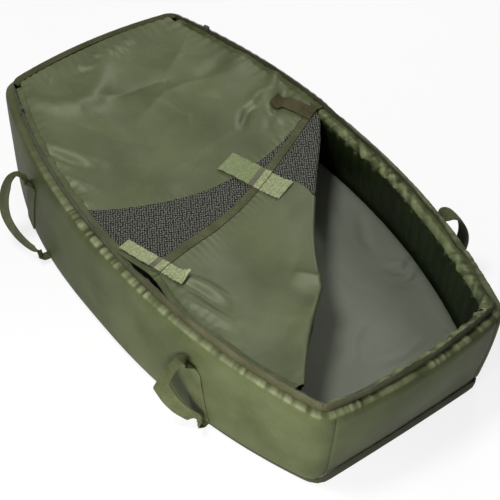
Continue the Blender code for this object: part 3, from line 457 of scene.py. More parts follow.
# Soft loop side of the straps' tape, a duller green than the hook side.
HOOK_LOOP = hook_and_loop("nylon_loop_pile", "68754A", "929C70")

# Hook side of the tape, the palest thing on the cover.
HOOK_PALE = hook_and_loop("nylon_hook_tape", "7A835A", "B4BA90")


def netting(name):
    """Knitted polyester net: pale thread edges round dark holes, drawn 4.6 mm apart."""
    made, tree, shader, place = start_material(name)
    inputs = {"Vector": place["Object"], "Rotation": (0, 0, 0.62), "Scale": (1.0, 1.12, 1.0)}
    turned = add(tree, "ShaderNodeMapping", inputs).outputs["Vector"]
    inputs = {"Vector": turned, "Scale": 1 / 0.0046, "Randomness": 0.40}
    cell = add(tree, "ShaderNodeTexVoronoi", inputs, voronoi_dimensions="2D").outputs["Distance"]
    knot = span(tree, cell, 0.13, 0.34, 1.0, 0.0)
    glint = mottle(tree, place["Object"], 0.007, 1.0)
    lit = tint(tree, glint, hex_colour("66685D"), hex_colour("929488"))
    colour = tint(tree, knot, hex_colour("22231C"), lit)
    tree.links.new(span(tree, cell, 0.40, 0.62, 1.0, 0.6), shader.inputs["Alpha"])
    dress(tree, shader, colour, knot, 0.5, 0.0004, Roughness=0.65, Specular_IOR_Level=0.3)
    return made


# Fine dark net of the cover's crescent and corner, which lets the tub show through a little.
NET = netting("knitted_polyester_net")


def dark_gloss(name):
    """Small hard parts, dark and half glossy, with a fine orange-peel skin."""
    made, tree, shader, place = start_material(name)
    peel = mottle(tree, place["Object"], 0.0012, 2.0)
    colour = tint(tree, peel, hex_colour("33342C"), hex_colour("55564B"))
    dress(tree, shader, colour, peel, 0.3, 0.0001, Roughness=0.38)
    return made


# Die-cast zinc of the sliders and pull tabs, painted dark, with small sharp highlights.
SLIDER_PAINT = dark_gloss("painted_zinc_slider")

# Nylon coil of the zip, a dark line of beads that catches the light.
COIL_NYLON = dark_gloss("nylon_zip_coil")


# Walls


def skin_section():
    """Outer cloth from its turned-under lower edge, up and over to the zip tape."""
    half, low = CLOTH / 2, BASE_HEIGHT
    points = [(0.014, low + half), (0.005, low + half), (0.0012, low + 0.003)]
    for share in (0.06, 0.15, 0.25, 0.38, 0.50, 0.62, 0.75, 0.85, 0.92):
        belly = WALL_BELLY * math.sin(math.pi * share) ** 0.7
        points.append((half - belly, low + share * WALL_HEIGHT))
    points += [
        (half + 0.15 * RIM_ROUND, WALL_TOP - 0.70 * RIM_ROUND),
        (half + 0.50 * RIM_ROUND, WALL_TOP - half - 0.16 * RIM_ROUND),
        (half + RIM_ROUND, WALL_TOP - half),
        (TAPE_INSET - half - GAP, WALL_TOP - half),
    ]
    return dense(points, 0.0042)


def lining_section():
    """Inner cloth from the zip tape, over the edge and down to the base."""
    half = CLOTH / 2
    inner = WALL_THICKNESS - half
    points = [
        (TAPE_INSET + half + GAP, WALL_TOP - half),
        (inner - RIM_ROUND, WALL_TOP - half),
        (inner - 0.50 * RIM_ROUND, WALL_TOP - half - 0.16 * RIM_ROUND),
        (inner - 0.15 * RIM_ROUND, WALL_TOP - 0.70 * RIM_ROUND),
    ]
    shares = (0.92, 0.90, 0.86, 0.7, 0.45, 0.2, 0.0)
    points += [(inner, BASE_HEIGHT + GAP + share * WALL_HEIGHT) for share in shares]
    return dense(points, 0.0042)


def board_section():
    """Closed section of a wall's foam, a little inside the two cloths."""
    skin = CLOTH + GAP + 0.0012
    low, top = BASE_HEIGHT + CLOTH + GAP, WALL_TOP - skin
    inner = WALL_THICKNESS - skin
    points = [(0.012, low), (skin + 0.003, low + 0.004)]
    for share in (0.12, 0.3, 0.5, 0.7, 0.9):
        belly = WALL_BELLY * math.sin(math.pi * share) ** 0.7
        points.append((skin - belly, BASE_HEIGHT + share * WALL_HEIGHT))
    points += [(skin + 0.3 * RIM_ROUND, top - 0.5 * RIM_ROUND), (skin + RIM_ROUND, top)]
    points += [(inner - RIM_ROUND, top), (inner - 0.3 * RIM_ROUND, top - 0.5 * RIM_ROUND)]
    points += [(inner, BASE_HEIGHT + share * WALL_HEIGHT) for share in (0.9, 0.6, 0.3, 0.05)]
    points += [(inner - 0.006, low)]
    return np.array(points)


HEM_DROP = 0.0145


def foot_lift(places):
    """How much higher the base cloth comes up round the foot end."""
    return 0.011 * smooth((places - 17.6) / 1.4) * smooth((28.4 - places) / 1.4)


def wall_parts(name, start, end, seed):
    """Outer cloth, lining and foam of one wall."""
    reach = 3 if name in ("near", "far") else 0
    places, run = even_places(start - reach, end + reach, 0.0026)
    ends = np.exp(-np.minimum(run - run[0], run[-1] - run) / 0.004)[:, None]

    section = skin_section()
    height = section[None, :, 1]
    lifted = height + foot_lift(places)[:, None] * smooth((BASE_HEIGHT + 0.05 - height) / 0.05)
    grid = ring(places[:, None], section[None, :, 0], lifted)
    below = WALL_TOP - grid[..., 2]
    inset = section[None, :, 0]
    ripple = puffs(run, seed)[:, None]
    slow = 0.0007 * noise(grid * (1, 1, 0.6), 0.085, seed)
    relief = slow + 0.0004 * noise(grid * (1, 1, 0.3), 0.03, seed + 1)
    relief = relief * smooth(below / 0.02) * smooth((grid[..., 2] - BASE_HEIGHT) / 0.03)
    fade = np.exp(-np.maximum(below - 0.004, 0) / 0.010)
    relief = relief + 0.0007 * ripple * fade * smooth(inset / 0.004 + 1)
    strip = smooth((inset - 0.0035) / 0.004) * smooth((TAPE_INSET - CLOTH - inset) / 0.003)
    loose = smooth((grid[:, :1, 0] + 0.34) / 0.12) if name == "near" else 0.6
    relief = relief + strip * (0.0008 + 0.0014 * ripple * loose)
    relief = relief - 0.0020 * ends * smooth(below / 0.01)
    skin = shell(f"{name}_wall_skin", grid, CLOTH, WALL_NYLON, relief)
    # Top strip painted paler as painted light: painted sheen on its upward face, painted highlights on its
    # puckers, paler towards the foot along the near wall
    pale = smooth((inset + 0.0002 * ripple - 0.0030) / 0.0016)
    paint_hem_light(skin, pale * np.clip(0.45 + 0.8 * ripple * loose, 0, 1) * (0.4 + 0.6 * loose))
    settle(skin, "tub", "wall_cloth", f"{name}_wall_panel")

    section = lining_section()
    grid = ring(places[:, None], section[None, :, 0], section[None, :, 1])
    below = WALL_TOP - grid[..., 2]
    inset = section[None, :, 0]
    hem = HEM_DROP + 0.0020 * puffs(run, seed + 2)[:, None]
    hem = hem + 0.0022 * gathers(run, 0.034, seed + 8)[:, None]
    across = np.maximum(inset - TAPE_INSET, 0) + below
    ripple = puffs(0.55 * run[:, None] + 0.5 * across, seed + 3)
    ripple = ripple + 0.6 * puffs(run[:, None] - 0.4 * across, seed + 6)
    strip = smooth((inset - TAPE_INSET - 0.002) / 0.005) * smooth((hem - below) / 0.004)
    relief = strip * (0.0018 + 0.0024 * ripple) - 0.0014 * bump(below, hem, 0.0016)
    lower = smooth((below - hem) / 0.006) * smooth((grid[..., 2] - MAT_TOP) / 0.02)
    fold = np.clip(0.5 + 0.6 * gathers(run, 0.030, seed + 4)[:, None], 0, 2)
    hanging = 0.0065 * fold**1.5 * np.exp(-below / 0.20) + 0.0008 * noise(grid, 0.05, seed)
    relief = relief + lower * hanging
    relief = relief - 0.0005 * ends
    lining = shell(f"{name}_wall_inner", grid, CLOTH, LINING_NYLON, relief)
    # Paler strip at the lining's hem, its tone following the puckers as painted highlights and painted
    # shade
    pale = np.clip((hem - below) / 0.0010 + 0.5, 0, 1)
    paint_hem_light(lining, pale * np.clip(0.72 + 0.42 * ripple, 0.2, 1))
    settle(lining, "tub", "lining_cloth", f"{name}_wall_lining")

    mitre = 1.5
    places, run = even_places(start - mitre, end + mitre, 0.012, trim=0.002)
    section = board_section()
    loops = ring(places[:, None], section[None, :, 0], section[None, :, 1])
    board = lofted(f"{name}_wall_pad", loops, FOAM)
    settle(board, "tub", "foam", f"{name}_wall_foam")


def paint_hem_light(cloth, value):
    top = cloth.data.attributes.new("hem", "FLOAT", "POINT")
    top.data.foreach_set("value", np.tile(np.asarray(value, np.float32).ravel(), 2))


def lofted(name, loops, material, angle=50):
    """Closed body through closed sections, with filled ends."""
    r, c = loops.shape[:2]
    index = np.arange(r * c).reshape(r, c)
    a, b = index[:-1], index[1:]
    faces = np.stack([a, np.roll(a, -1, 1), np.roll(b, -1, 1), b], -1).reshape(-1, 4)
    middle = loops.reshape(-1, 3).mean(0)
    tris = loops.reshape(-1, 3)[faces[:, :3]] - middle
    volume = np.einsum("ij,ij->i", tris[:, 0], np.cross(tris[:, 1], tris[:, 2])).sum()
    ends = [index[0].tolist(), index[-1][::-1].tolist()]
    faces = faces.tolist()
    if volume < 0:
        faces = [f[::-1] for f in faces]
    else:
        ends = [f[::-1] for f in ends]
    made = make_mesh(name, loops.reshape(-1, 3), faces + ends, material, angle=angle)
    bm = bmesh.new()
    bm.from_mesh(made.data)
    bmesh.ops.recalc_face_normals(bm, faces=bm.faces)
    bm.to_mesh(made.data)
    bm.free()
    return made


WALLS = {"near": NEAR, "foot": FOOT, "far": FAR, "head": HEAD}
for number, (side_name, (first, last)) in enumerate(WALLS.items()):
    wall_parts(side_name, first, last, 11 * number + 1)


# Floor: base, floor foam and mat


def coons(bottom, top, left, right):
    """Grid between four boundary rows of points: bottom and top rows, left and right columns."""
    v = np.linspace(0, 1, len(left))[:, None, None]
    u = np.linspace(0, 1, len(bottom))[None, :, None]
    ruled = bottom[None] * (1 - v) + top[None] * v
    ruled = ruled + left[:, None] * (1 - u) + right[:, None] * u
    corner = (bottom[0] * (1 - u) + bottom[-1] * u) * (1 - v) + (top[0] * (1 - u) + top[-1] * u) * v
    return ruled - corner


def slab(name, profile, spacing, material, base=False, crown=0.0, angle=50):
    """Closed pad of the tub's outline from a profile of insets and heights, bottom to top."""
    counts = [round(n / spacing) for n in (1.0, 0.42)]
    corners = (-1.5, 17.5, 28.5, 47.5, 58.5)
    places = []
    for start, end, count in zip(corners, corners[1:], counts * 2):
        fine = np.linspace(start, end, 800)
        points = ring(fine, 0.03, WALL_TOP)
        run = np.concatenate([[0], np.cumsum(np.linalg.norm(np.diff(points, axis=0), axis=1))])
        places.append(np.interp(np.linspace(0, run[-1], count + 1)[:-1], run, fine))
    places = np.concatenate(places)
    rise = foot_lift(places) / BASE_HEIGHT if base == "tray" else 0
    loops = np.array([ring(places, inset, height * (1 + rise), base) for inset, height in profile])
    total = len(places)
    nx, ny = counts
    verts, faces = [loops.reshape(-1, 3)], []
    for k in range(len(profile) - 1):
        a = np.arange(total) + k * total
        b = np.roll(a, -1)
        faces += np.stack([a, b, b + total, a + total], -1).tolist()
    offset = len(profile) * total
    for level, turn in ((0, -1), (len(profile) - 1, 1)):
        loop = loops[level]
        near, foot = loop[: nx + 1], loop[nx : nx + ny + 1]
        far = loop[nx + ny : 2 * nx + ny + 1][::-1]
        head = np.vstack([loop[2 * nx + ny :], loop[:1]])[::-1]
        grid = coons(near, far, head, foot)
        if turn == 1 and crown:
            inner = np.minimum.outer(
                smooth(np.minimum(np.arange(ny + 1), ny - np.arange(ny + 1)) / (0.30 * ny)),
                smooth(np.minimum(np.arange(nx + 1), nx - np.arange(nx + 1)) / (0.12 * nx)),
            )
            grid[..., 2] += crown * inner
        ids = np.full((ny + 1, nx + 1), -1)
        base_id = level * total
        ids[0] = base_id + np.arange(nx + 1)
        ids[:, nx] = base_id + nx + np.arange(ny + 1)
        ids[ny] = base_id + (nx + ny + np.arange(nx + 1))[::-1]
        ids[:, 0] = base_id + (2 * nx + ny + np.arange(ny + 1))[::-1] % total
        ids[0, 0] = base_id
        inside = grid[1:-1, 1:-1].reshape(-1, 3)
        ids[1:-1, 1:-1] = offset + np.arange(len(inside)).reshape(ny - 1, nx - 1)
        offset += len(inside)
        verts.append(inside)
        quads = np.stack([ids[:-1, :-1], ids[:-1, 1:], ids[1:, 1:], ids[1:, :-1]], -1).reshape(-1, 4)
        faces += (quads if turn == 1 else quads[:, ::-1]).tolist()
    return make_mesh(name, np.vstack(verts), faces, material, angle=angle)


FLOOR_INSET = WALL_THICKNESS + CLOTH + GAP
SHEET = CLOTH * 1.3

low = BASE_HEIGHT
floor_pad = slab(
    "floor_foam_pad",
    [
        (FLOOR_INSET + 0.003, low + 0.0003),
        (FLOOR_INSET, low + 0.004),
        (FLOOR_INSET, low + FLOOR_FOAM_THICKNESS - 0.004),
        (FLOOR_INSET + 0.003, low + FLOOR_FOAM_THICKNESS - 0.0003),
    ],
    0.02,
    FOAM,
)
settle(floor_pad, "tub", "foam", "floor_foam")

edge = SHEET + GAP
board_pad = slab(
    "base_board_pad",
    [(edge + 0.002, edge + 0.0002), (edge + 0.0003, edge + 0.002)]
    + [(edge + 0.0003, BASE_HEIGHT - 0.0030), (edge + 0.003, BASE_HEIGHT - GAP)],
    0.02,
    FOAM,
    base=True,
)
settle(board_pad, "tub", "foam", "base_foam")

outer = slab(
    "base_tray",
    [(0.004, 0.0), (0.0012, 0.0006), (0.0, 0.0025), (0.0, 0.007)]
    + [(0.0, BASE_HEIGHT - 0.0010), (0.0004, BASE_HEIGHT - GAP), (SHEET - 0.0004, BASE_HEIGHT - GAP)]
    + [(SHEET, BASE_HEIGHT - 0.0010), (SHEET, 0.007), (SHEET, SHEET + 0.0010), (0.004, SHEET)],
    0.008,
    BASE_NYLON,
    base="tray",
    angle=40,
)
settle(outer, "tub", "base_cloth", "base_sheet")


def puff(piece, pressure, frames, reach):
    """Swell a pad as its stuffing does, by a cloth simulation whose movement is capped."""
    rest = np.zeros(len(piece.data.vertices) * 3)
    piece.data.vertices.foreach_get("co", rest)
    modifier = piece.modifiers.new("swell", "CLOTH")
    settings = modifier.settings
    settings.use_pressure = True
    settings.uniform_pressure_force = pressure
    settings.quality = 4
    settings.mass = 0.3
    settings.tension_stiffness = settings.compression_stiffness = settings.shear_stiffness = 12
    settings.bending_stiffness = 0.6
    settings.effector_weights.gravity = 0
    scene = bpy.context.scene
    for number in range(1, frames + 1):
        scene.frame_set(number)
    graph = bpy.context.evaluated_depsgraph_get()
    swollen = bpy.data.meshes.new_from_object(piece.evaluated_get(graph))
    moved = np.zeros_like(rest)
    swollen.vertices.foreach_get("co", moved)
    piece.modifiers.remove(modifier)
    scene.frame_set(1)
    step = (moved - rest).reshape(-1, 3)
    length = np.linalg.norm(step, axis=1, keepdims=True)
    step = step * np.minimum(1, reach / np.maximum(length, 1e-9))
    return rest.reshape(-1, 3), step


MAT_CREASES = [
    (-0.0046, 0.007, [(0.247, 0.226), (0.262, 0.196), (0.240, 0.168)]),
    (0.0046, 0.008, [(0.262, 0.224), (0.276, 0.190)]),
    (0.0044, 0.007, [(0.232, 0.236), (0.240, 0.205), (0.226, 0.180)]),
    (-0.0042, 0.007, [(0.282, 0.216), (0.288, 0.184), (0.280, 0.160)]),
    (-0.0044, 0.011, [(0.020, 0.170), (0.075, 0.130), (0.120, 0.120)]),
    (0.0042, 0.013, [(0.060, 0.190), (0.110, 0.150)]),
    (-0.0040, 0.011, [(0.100, 0.225), (0.150, 0.190), (0.190, 0.180)]),
    (0.0038, 0.010, [(0.310, 0.060), (0.332, 0.010), (0.372, -0.020)]),
    (-0.0036, 0.010, [(0.300, 0.020), (0.340, -0.010), (0.360, -0.060)]),
    (0.0034, 0.009, [(0.400, 0.120), (0.408, 0.060), (0.398, 0.010)]),
    (-0.0034, 0.010, [(0.180, 0.100), (0.230, 0.090), (0.270, 0.110)]),
]


def build_mat():
    low = BASE_HEIGHT + FLOOR_FOAM_THICKNESS + GAP
    top = low + FLOOR_MAT_THICKNESS - MAT_CROWN
    profile = [(0.030, low + 0.0002), (0.008, low + 0.0003), (0.0030, low + 0.0022)]
    profile += [(0.0010, low + 0.006), (0.0006, low + 0.011), (0.0004, low + 0.018)]
    profile += [(0.0004, low + 0.026), (0.0006, low + 0.034), (0.0012, top - 0.0045)]
    profile += [(0.0024, top - 0.0020), (0.0048, top - 0.0006), (0.0085, top)]
    profile += [(0.0150, top + 0.0004), (0.024, top + 0.0008)]
    mat = slab(
        "padded_mat",
        [(FLOOR_INSET + inset, height) for inset, height in profile],
        0.0044,
        MAT_POLYESTER,
        crown=MAT_CROWN - 0.0008,
        angle=70,
    )
    rest = np.array([v.co for v in mat.data.vertices])
    step = np.zeros_like(rest)
    rest, step = puff(mat, 3.0, 12, 0.0012)
    final = rest + step
    plan = rest[:, :2]
    upper = smooth((rest[:, 2] - top + 0.006) / 0.006)
    lift = 0.0011 * noise(plan, 0.13, 3) + 0.0004 * noise(plan, 0.045, 4)
    for height, width, path in MAT_CREASES:
        gap, share = path_distance(plan, path)
        ends = np.sin(math.pi * np.clip(share, 0.02, 0.98)) ** 0.5
        lift = lift + height * np.exp(-((gap / width) ** 2)) * ends
    final[:, 2] += lift * upper
    mat.data.vertices.foreach_set("co", final.astype(np.float32).ravel())
    mat.data.update()
    settle(mat, "tub", "mat_cloth", "floor_mat")


build_mat()


# Zip round the rim


def tape_lean(places):
    """How far the standing tape leans out at its top, round the tub."""
    at = ring(places, TAPE_INSET, WALL_TOP)
    free = smooth((at[:, 0] + 0.09) / 0.06)
    far = smooth(at[:, 1] / 0.1)
    near = smooth(-at[:, 1] / 0.1)
    lean = -far * (0.0015 + free * (0.0062 + 0.0022 * gathers(at[:, 0], 0.115, 7)))
    slack = 1 + 0.5 * noise(at[:, :1], 0.05, 8)
    lean = lean - near * 0.0022 * smooth((at[:, 0] - 0.05) / 0.05) * slack
    foot = smooth((at[:, 0] - 0.46) / 0.03)
    return lean * (1 - foot) + foot * 0.0016 * noise(at[:, 1:2], 0.05, 9)


def binding_share(places):
    """Share of the binding's width that the cover leaves in sight, less at the far corner."""
    return mix(0.30, 0.50, smooth((places - 46.5) / 12))


def build_rim():
    places, run = even_places(-0.6, 46.6, 0.0026, TAPE_INSET)
    heights = np.linspace(-CLOTH, TAPE_STAND, 10)
    grid = ring(places[:, None], TAPE_INSET, WALL_TOP + heights[None])
    out = grid_normals(grid)
    out[..., 2] = 0
    out = unit(out)
    rise = np.clip(heights / TAPE_STAND, 0, 1)[None]
    corner = np.maximum(bump(places, 17.5, 1.1), bump(places, 28.5, 1.1))
    wave = tape_lean(places) + 0.0007 * gathers(run, 0.021, 21)
    wave = wave + corner * 0.0016 * np.sin(run / 0.0065 * 2 * math.pi)
    grid = grid + out * (wave[:, None] * rise**1.3)[..., None]
    tape = shell("rim_tape", grid, CLOTH, ZIP_TAPE)
    settle(tape, "tub", "zip_tape", "rim_zip_tape")

    # The coil is one bead wound along the tape's upper edge, drawn at 2.4 mm a turn.
    top = grid[:, -1]
    length = np.concatenate([[0], np.cumsum(np.linalg.norm(np.diff(top, axis=0), axis=1))])
    turns = int(length[-1] / 0.0024)
    t = np.linspace(0, length[-1], turns * 9 + 1)
    line = np.stack([np.interp(t, length, top[:, k]) for k in range(3)], -1)
    way = unit(np.gradient(line, axis=0))
    side = unit(np.cross(way, (0, 0, 1.0)))
    up = np.cross(side, way)
    angle = np.arange(len(t)) / 9 * 2 * math.pi
    radius = COIL_DIAMETER / 2 - 0.0004
    middle = line + up * (GAP + COIL_DIAMETER / 2)
    centre = middle + radius * (side * np.cos(angle)[:, None] + up * np.sin(angle)[:, None])
    way = unit(np.gradient(centre, axis=0))
    side = unit(np.cross(way, unit(centre - middle)))
    up = np.cross(side, way)
    sections = []
    for k in range(5):
        a = 2 * math.pi * k / 5
        sections.append(centre + 0.0004 * (side * math.cos(a) + up * math.sin(a)))
    coil = lofted("rim_coil", np.stack(sections, 1), COIL_NYLON, angle=180)
    settle(coil, "tub", "zip_coil", "rim_zip_coil")

    places, run = even_places(46.65, 59.35, 0.0022, TAPE_INSET, 0)
    ridge = WALL_TOP + TAPE_STAND
    points = [
        (TAPE_INSET, WALL_TOP - CLOTH),
        (TAPE_INSET, ridge - 0.008),
        (TAPE_INSET, ridge - 0.003),
        (TAPE_INSET + 0.0010, ridge - 0.0003),
        (TAPE_INSET + 0.0040, ridge - 0.0006),
        (TAPE_INSET + 0.75 * HEAD_TAPE, mix(ridge, WALL_TOP + COVER_LIFT + HEAD_RISE, 0.72)),
        (TAPE_INSET + HEAD_TAPE, WALL_TOP + COVER_LIFT + HEAD_RISE),
    ]
    section = dense(points, 0.0022)
    shown = np.maximum(section[None, :, 0] - TAPE_INSET, 0) * binding_share(places)[:, None]
    grid = ring(places[:, None], TAPE_INSET + shown, section[None, :, 1])
    over = smooth((section[None, :, 0] - TAPE_INSET) / 0.004)
    relief = 0.0008 * gathers(run, 0.024, 31)[:, None] * over
    relief = relief + 0.0004 * gathers(run, 0.009, 32)[:, None] * over
    binding = shell("head_end_binding", grid, CLOTH, ZIP_TAPE, relief)
    settle(binding, "tub", "zip_tape", "head_binding")


build_rim()


# Cover: flat layout in plan, its folds, then its shape in space


def near_edge(x, inset):
    x = np.asarray(x, float)
    return vec(x, -Outline(inset + NEAR_SLACK * bump(x, 0.087, 0.060)).side(x))


def far_edge(x, inset):
    x = np.asarray(x, float)
    return vec(x, Outline(inset).side(x))


FOLD_HEAD = far_edge(SEAM_FAR_X, PANEL_EDGE)
FOLD_FOOT = near_edge(FOLD_FOOT_X, PANEL_EDGE)
FOLD_LENGTH = float(np.linalg.norm(FOLD_FOOT - FOLD_HEAD))
FOLD_DIRECTION = (FOLD_FOOT - FOLD_HEAD) / FOLD_LENGTH
FOLD_NORMAL = np.array([-FOLD_DIRECTION[1], FOLD_DIRECTION[0]])


def seam_curve(u):
    u = np.asarray(u, float)[..., None]
    near, far = near_edge(SEAM_NEAR_X, PANEL_EDGE), far_edge(SEAM_FAR_X, PANEL_EDGE)
    return near + (far - near) * u + np.array([1.0, 0.0]) * (SEAM_BOW * np.sin(math.pi * u) ** 2)


def seam_normal(u):
    u = np.clip(u, 0, 1)
    step = 1 / SEAM_STEPS
    way = unit(seam_curve(np.clip(u + step, 0, 1)) - seam_curve(np.clip(u - step, 0, 1)))
    return vec(way[..., 1], -way[..., 0])


def arc_point(u):
    u = np.asarray(u, float)[..., None]
    near = near_edge(ARC_MIDDLE - ARC_SAGITTA, PANEL_EDGE)
    far = far_edge(ARC_MIDDLE - ARC_SAGITTA, PANEL_EDGE)
    return near + (far - near) * u + np.array([1.0, 0.0]) * (ARC_SAGITTA * (1 - (2 * u - 1) ** 2))


# Folds of the slack cover: height and half width in metres, sharpness (1 round, 0 creased),
# and the line of each in plan.
FOLD_STRENGTH = 1.6
FOLD_REACH = 3.2  # half widths past which a fold is nothing
COVER_FOLDS = [
    (0.0085, 0.022, 1, [(-0.441, -0.193), (-0.406, -0.174), (-0.374, -0.148), (-0.359, -0.117),
                        (-0.363, -0.082), (-0.384, -0.050), (-0.417, -0.023), (-0.445, 0.003)]),
    (-0.0034, 0.022, 1, [(-0.452, -0.125), (-0.430, -0.100), (-0.428, -0.078)]),
    (-0.0020, 0.009, 1, [(-0.440, -0.082), (-0.437, -0.052), (-0.429, -0.040)]),
    (0.0018, 0.008, 1, [(-0.462, -0.060), (-0.446, -0.046), (-0.436, -0.026)]),
    (0.0026, 0.006, 1, [(-0.470, -0.010), (-0.450, -0.006)]),
    (0.0030, 0.006, 1, [(-0.474, 0.016), (-0.440, 0.024)]),
    (0.0030, 0.006, 1, [(-0.474, 0.038), (-0.438, 0.046)]),
    (0.0026, 0.006, 1, [(-0.474, 0.062), (-0.448, 0.068)]),
    (-0.0042, 0.016, 0, [(-0.366, -0.078), (-0.361, -0.038), (-0.350, 0.020), (-0.339, 0.073)]),
    (-0.0026, 0.012, 0, [(-0.339, 0.073), (-0.309, 0.057)]),
    (0.0024, 0.012, 0, [(-0.309, 0.057), (-0.296, 0.019), (-0.282, -0.018)]),
    (0.0026, 0.014, 0, [(-0.309, 0.057), (-0.299, 0.093), (-0.284, 0.131), (-0.270, 0.170)]),
    (0.0022, 0.014, 0, [(-0.339, 0.073), (-0.359, 0.104), (-0.381, 0.138), (-0.412, 0.178)]),
    (-0.0020, 0.016, 0, [(-0.282, -0.018), (-0.322, -0.044), (-0.360, -0.066)]),
    (0.0060, 0.014, 1, [(-0.322, -0.240), (-0.291, -0.223), (-0.263, -0.206), (-0.231, -0.189),
                        (-0.200, -0.171)]),
    (-0.0030, 0.012, 1, [(-0.290, -0.240), (-0.250, -0.220), (-0.210, -0.196)]),
    (0.0034, 0.009, 1, [(-0.278, -0.248), (-0.250, -0.236), (-0.222, -0.222)]),
    (0.0050, 0.011, 1, [(-0.224, -0.256), (-0.203, -0.243), (-0.177, -0.231), (-0.142, -0.220)]),
    (0.0034, 0.008, 1, [(-0.150, -0.262), (-0.127, -0.251), (-0.104, -0.242)]),
    (0.0060, 0.030, 1, [(-0.230, 0.110), (-0.262, 0.160), (-0.285, 0.220), (-0.295, 0.262)]),
    (-0.0040, 0.018, 1, [(-0.292, 0.118), (-0.300, 0.160), (-0.322, 0.222)]),
    (0.0036, 0.010, 1, [(-0.152, 0.182), (-0.122, 0.176), (-0.088, 0.162)]),
    (-0.0034, 0.010, 1, [(-0.170, 0.238), (-0.139, 0.197), (-0.114, 0.163), (-0.100, 0.146)]),
    (0.0036, 0.012, 1, [(-0.212, 0.262), (-0.186, 0.222), (-0.160, 0.190)]),
    (0.0034, 0.010, 1, [(-0.225, 0.268), (-0.205, 0.240), (-0.182, 0.225)]),
    (-0.0020, 0.018, 0, [(-0.245, -0.110), (-0.215, -0.080), (-0.180, -0.050)]),
    (0.0026, 0.012, 0, [(-0.402, -0.118), (-0.352, -0.104), (-0.300, -0.092), (-0.238, -0.090)]),
    (-0.0024, 0.012, 0, [(-0.336, -0.160), (-0.292, -0.124), (-0.236, -0.106)]),
    (0.0020, 0.010, 0, [(-0.326, 0.010), (-0.290, 0.040), (-0.236, 0.052), (-0.190, 0.030)]),
    (-0.0022, 0.014, 0, [(-0.420, 0.110), (-0.372, 0.140), (-0.330, 0.190)]),
    (0.0018, 0.020, 1, [(-0.120, -0.120), (-0.090, -0.100), (-0.060, -0.090)]),
    (0.0062, 0.016, 0, [(0.278, -0.006), (0.246, -0.030), (0.208, -0.050)]),
    (-0.0034, 0.020, 1, [(0.296, -0.046), (0.262, -0.068), (0.232, -0.086)]),
    (0.0060, 0.012, 1, [(-0.165, 0.150), (-0.187, 0.185), (-0.190, 0.222)]),
    (-0.0070, 0.010, 1, [(-0.135, 0.110), (-0.165, 0.145), (-0.168, 0.170)]),
    (-0.0050, 0.010, 1, [(-0.140, 0.190), (-0.152, 0.215), (-0.160, 0.245)]),
    (0.0050, 0.020, 1, [(0.268, -0.030), (0.293, -0.064), (0.321, -0.101), (0.356, -0.140)]),
    (-0.0040, 0.024, 1, [(0.285, -0.110), (0.320, -0.150), (0.350, -0.185)]),
    (0.0040, 0.010, 1, [(0.112, -0.206), (0.156, -0.184), (0.205, -0.166)]),
    (-0.0036, 0.010, 1, [(0.118, -0.220), (0.170, -0.200), (0.235, -0.186)]),
    (0.0036, 0.011, 1, [(0.150, -0.234), (0.205, -0.214), (0.262, -0.196)]),
    (-0.0028, 0.010, 1, [(0.190, -0.244), (0.240, -0.228), (0.285, -0.206)]),
    (0.0026, 0.010, 1, [(0.235, -0.252), (0.275, -0.236), (0.310, -0.214)]),
    (-0.0070, 0.055, 1, [(0.050, -0.050), (0.160, -0.110), (0.270, -0.170)]),
    (-0.0070, 0.090, 1, [(-0.450, -0.030), (-0.300, -0.010), (-0.120, 0.020)]),
]


def fold_relief(points):
    total = np.zeros(points.shape[:-1])
    for height, width, rounded, path in COVER_FOLDS:
        margin = FOLD_REACH * width
        inside = (points > np.min(path, 0) - margin) & (points < np.max(path, 0) + margin)
        inside = np.all(inside, axis=-1)
        if not inside.any():
            continue
        gap, share = path_distance(points[inside], path)
        if rounded:
            shape = np.exp(-((gap / width) ** 2))
        else:
            shape = 1.3 * np.exp(-np.hypot(gap, 0.001) / (1.1 * width))
        total[inside] += height * shape * np.sin(math.pi * np.clip(share, 0.03, 0.97)) ** 0.6
    return FOLD_STRENGTH * total


def edge_puckers(points):
    """Small gathers square to each sewn edge of the cover."""
    x, y = points[..., 0], points[..., 1]
    rim = Outline(PANEL_EDGE)
    near = np.abs(y + Outline(PANEL_EDGE + NEAR_SLACK * bump(x, 0.087, 0.060)).side(x))
    far = np.abs(rim.side(x) - y)
    head = np.abs(x + 0.475)
    u = np.clip((y + 0.25) / 0.50, 0, 1)
    arc = np.abs(x - arc_point(u)[..., 0])
    seam = x - seam_curve(u)[..., 0]
    total = 0.0011 * gathers(x, 0.019, 41) * np.exp(-near / 0.014)
    total = total + 0.0016 * gathers(x, 0.021, 42) * np.exp(-far / 0.018)
    total = total + 0.0016 * gathers(y, 0.018, 43) * np.exp(-head / 0.020)
    total = total + 0.0008 * gathers(y, 0.016, 44) * np.exp(-arc / 0.010)
    full = 0.0036 * smooth((y - 0.02) / 0.06) * puffs(1.2 * y, 46) * np.exp(-arc / 0.009)
    total = total + full * (x < arc_point(u)[..., 0])
    fade = np.exp(-np.maximum(seam, 0) / 0.016) * (seam > -0.004)
    total = total + 0.0014 * gathers(y, 0.013, 45) * fade
    return total


def cover_relief(points):
    slow = 0.0022 * noise(points, 0.085, 51) + 0.0010 * noise(points, 0.034, 52)
    slow = slow * smooth((points[..., 0] + 0.47) / 0.05)
    return fold_relief(points) + edge_puckers(points) + slow


def cover_level(points):
    rim = Outline(PANEL_EDGE)
    sx = np.clip(points[..., 0] / rim.half, -1, 1)
    sy = np.clip(points[..., 1] / rim.side(points[..., 0]), -1, 1)
    sag = COVER_SAG * (1 - sx * sx) * (1 - sy * sy)
    rise = HEAD_RISE * bump(points[..., 0], -rim.half - END_BULGE, 0.080)
    lift = CORNER_LIFT * bump(np.linalg.norm(points - FOLD_FOOT, axis=-1), 0, 0.070)
    return WALL_TOP + COVER_LIFT - sag + rise + lift


def fold_place(points):
    offset = points - FOLD_HEAD
    return offset @ FOLD_DIRECTION / FOLD_LENGTH, offset @ FOLD_NORMAL


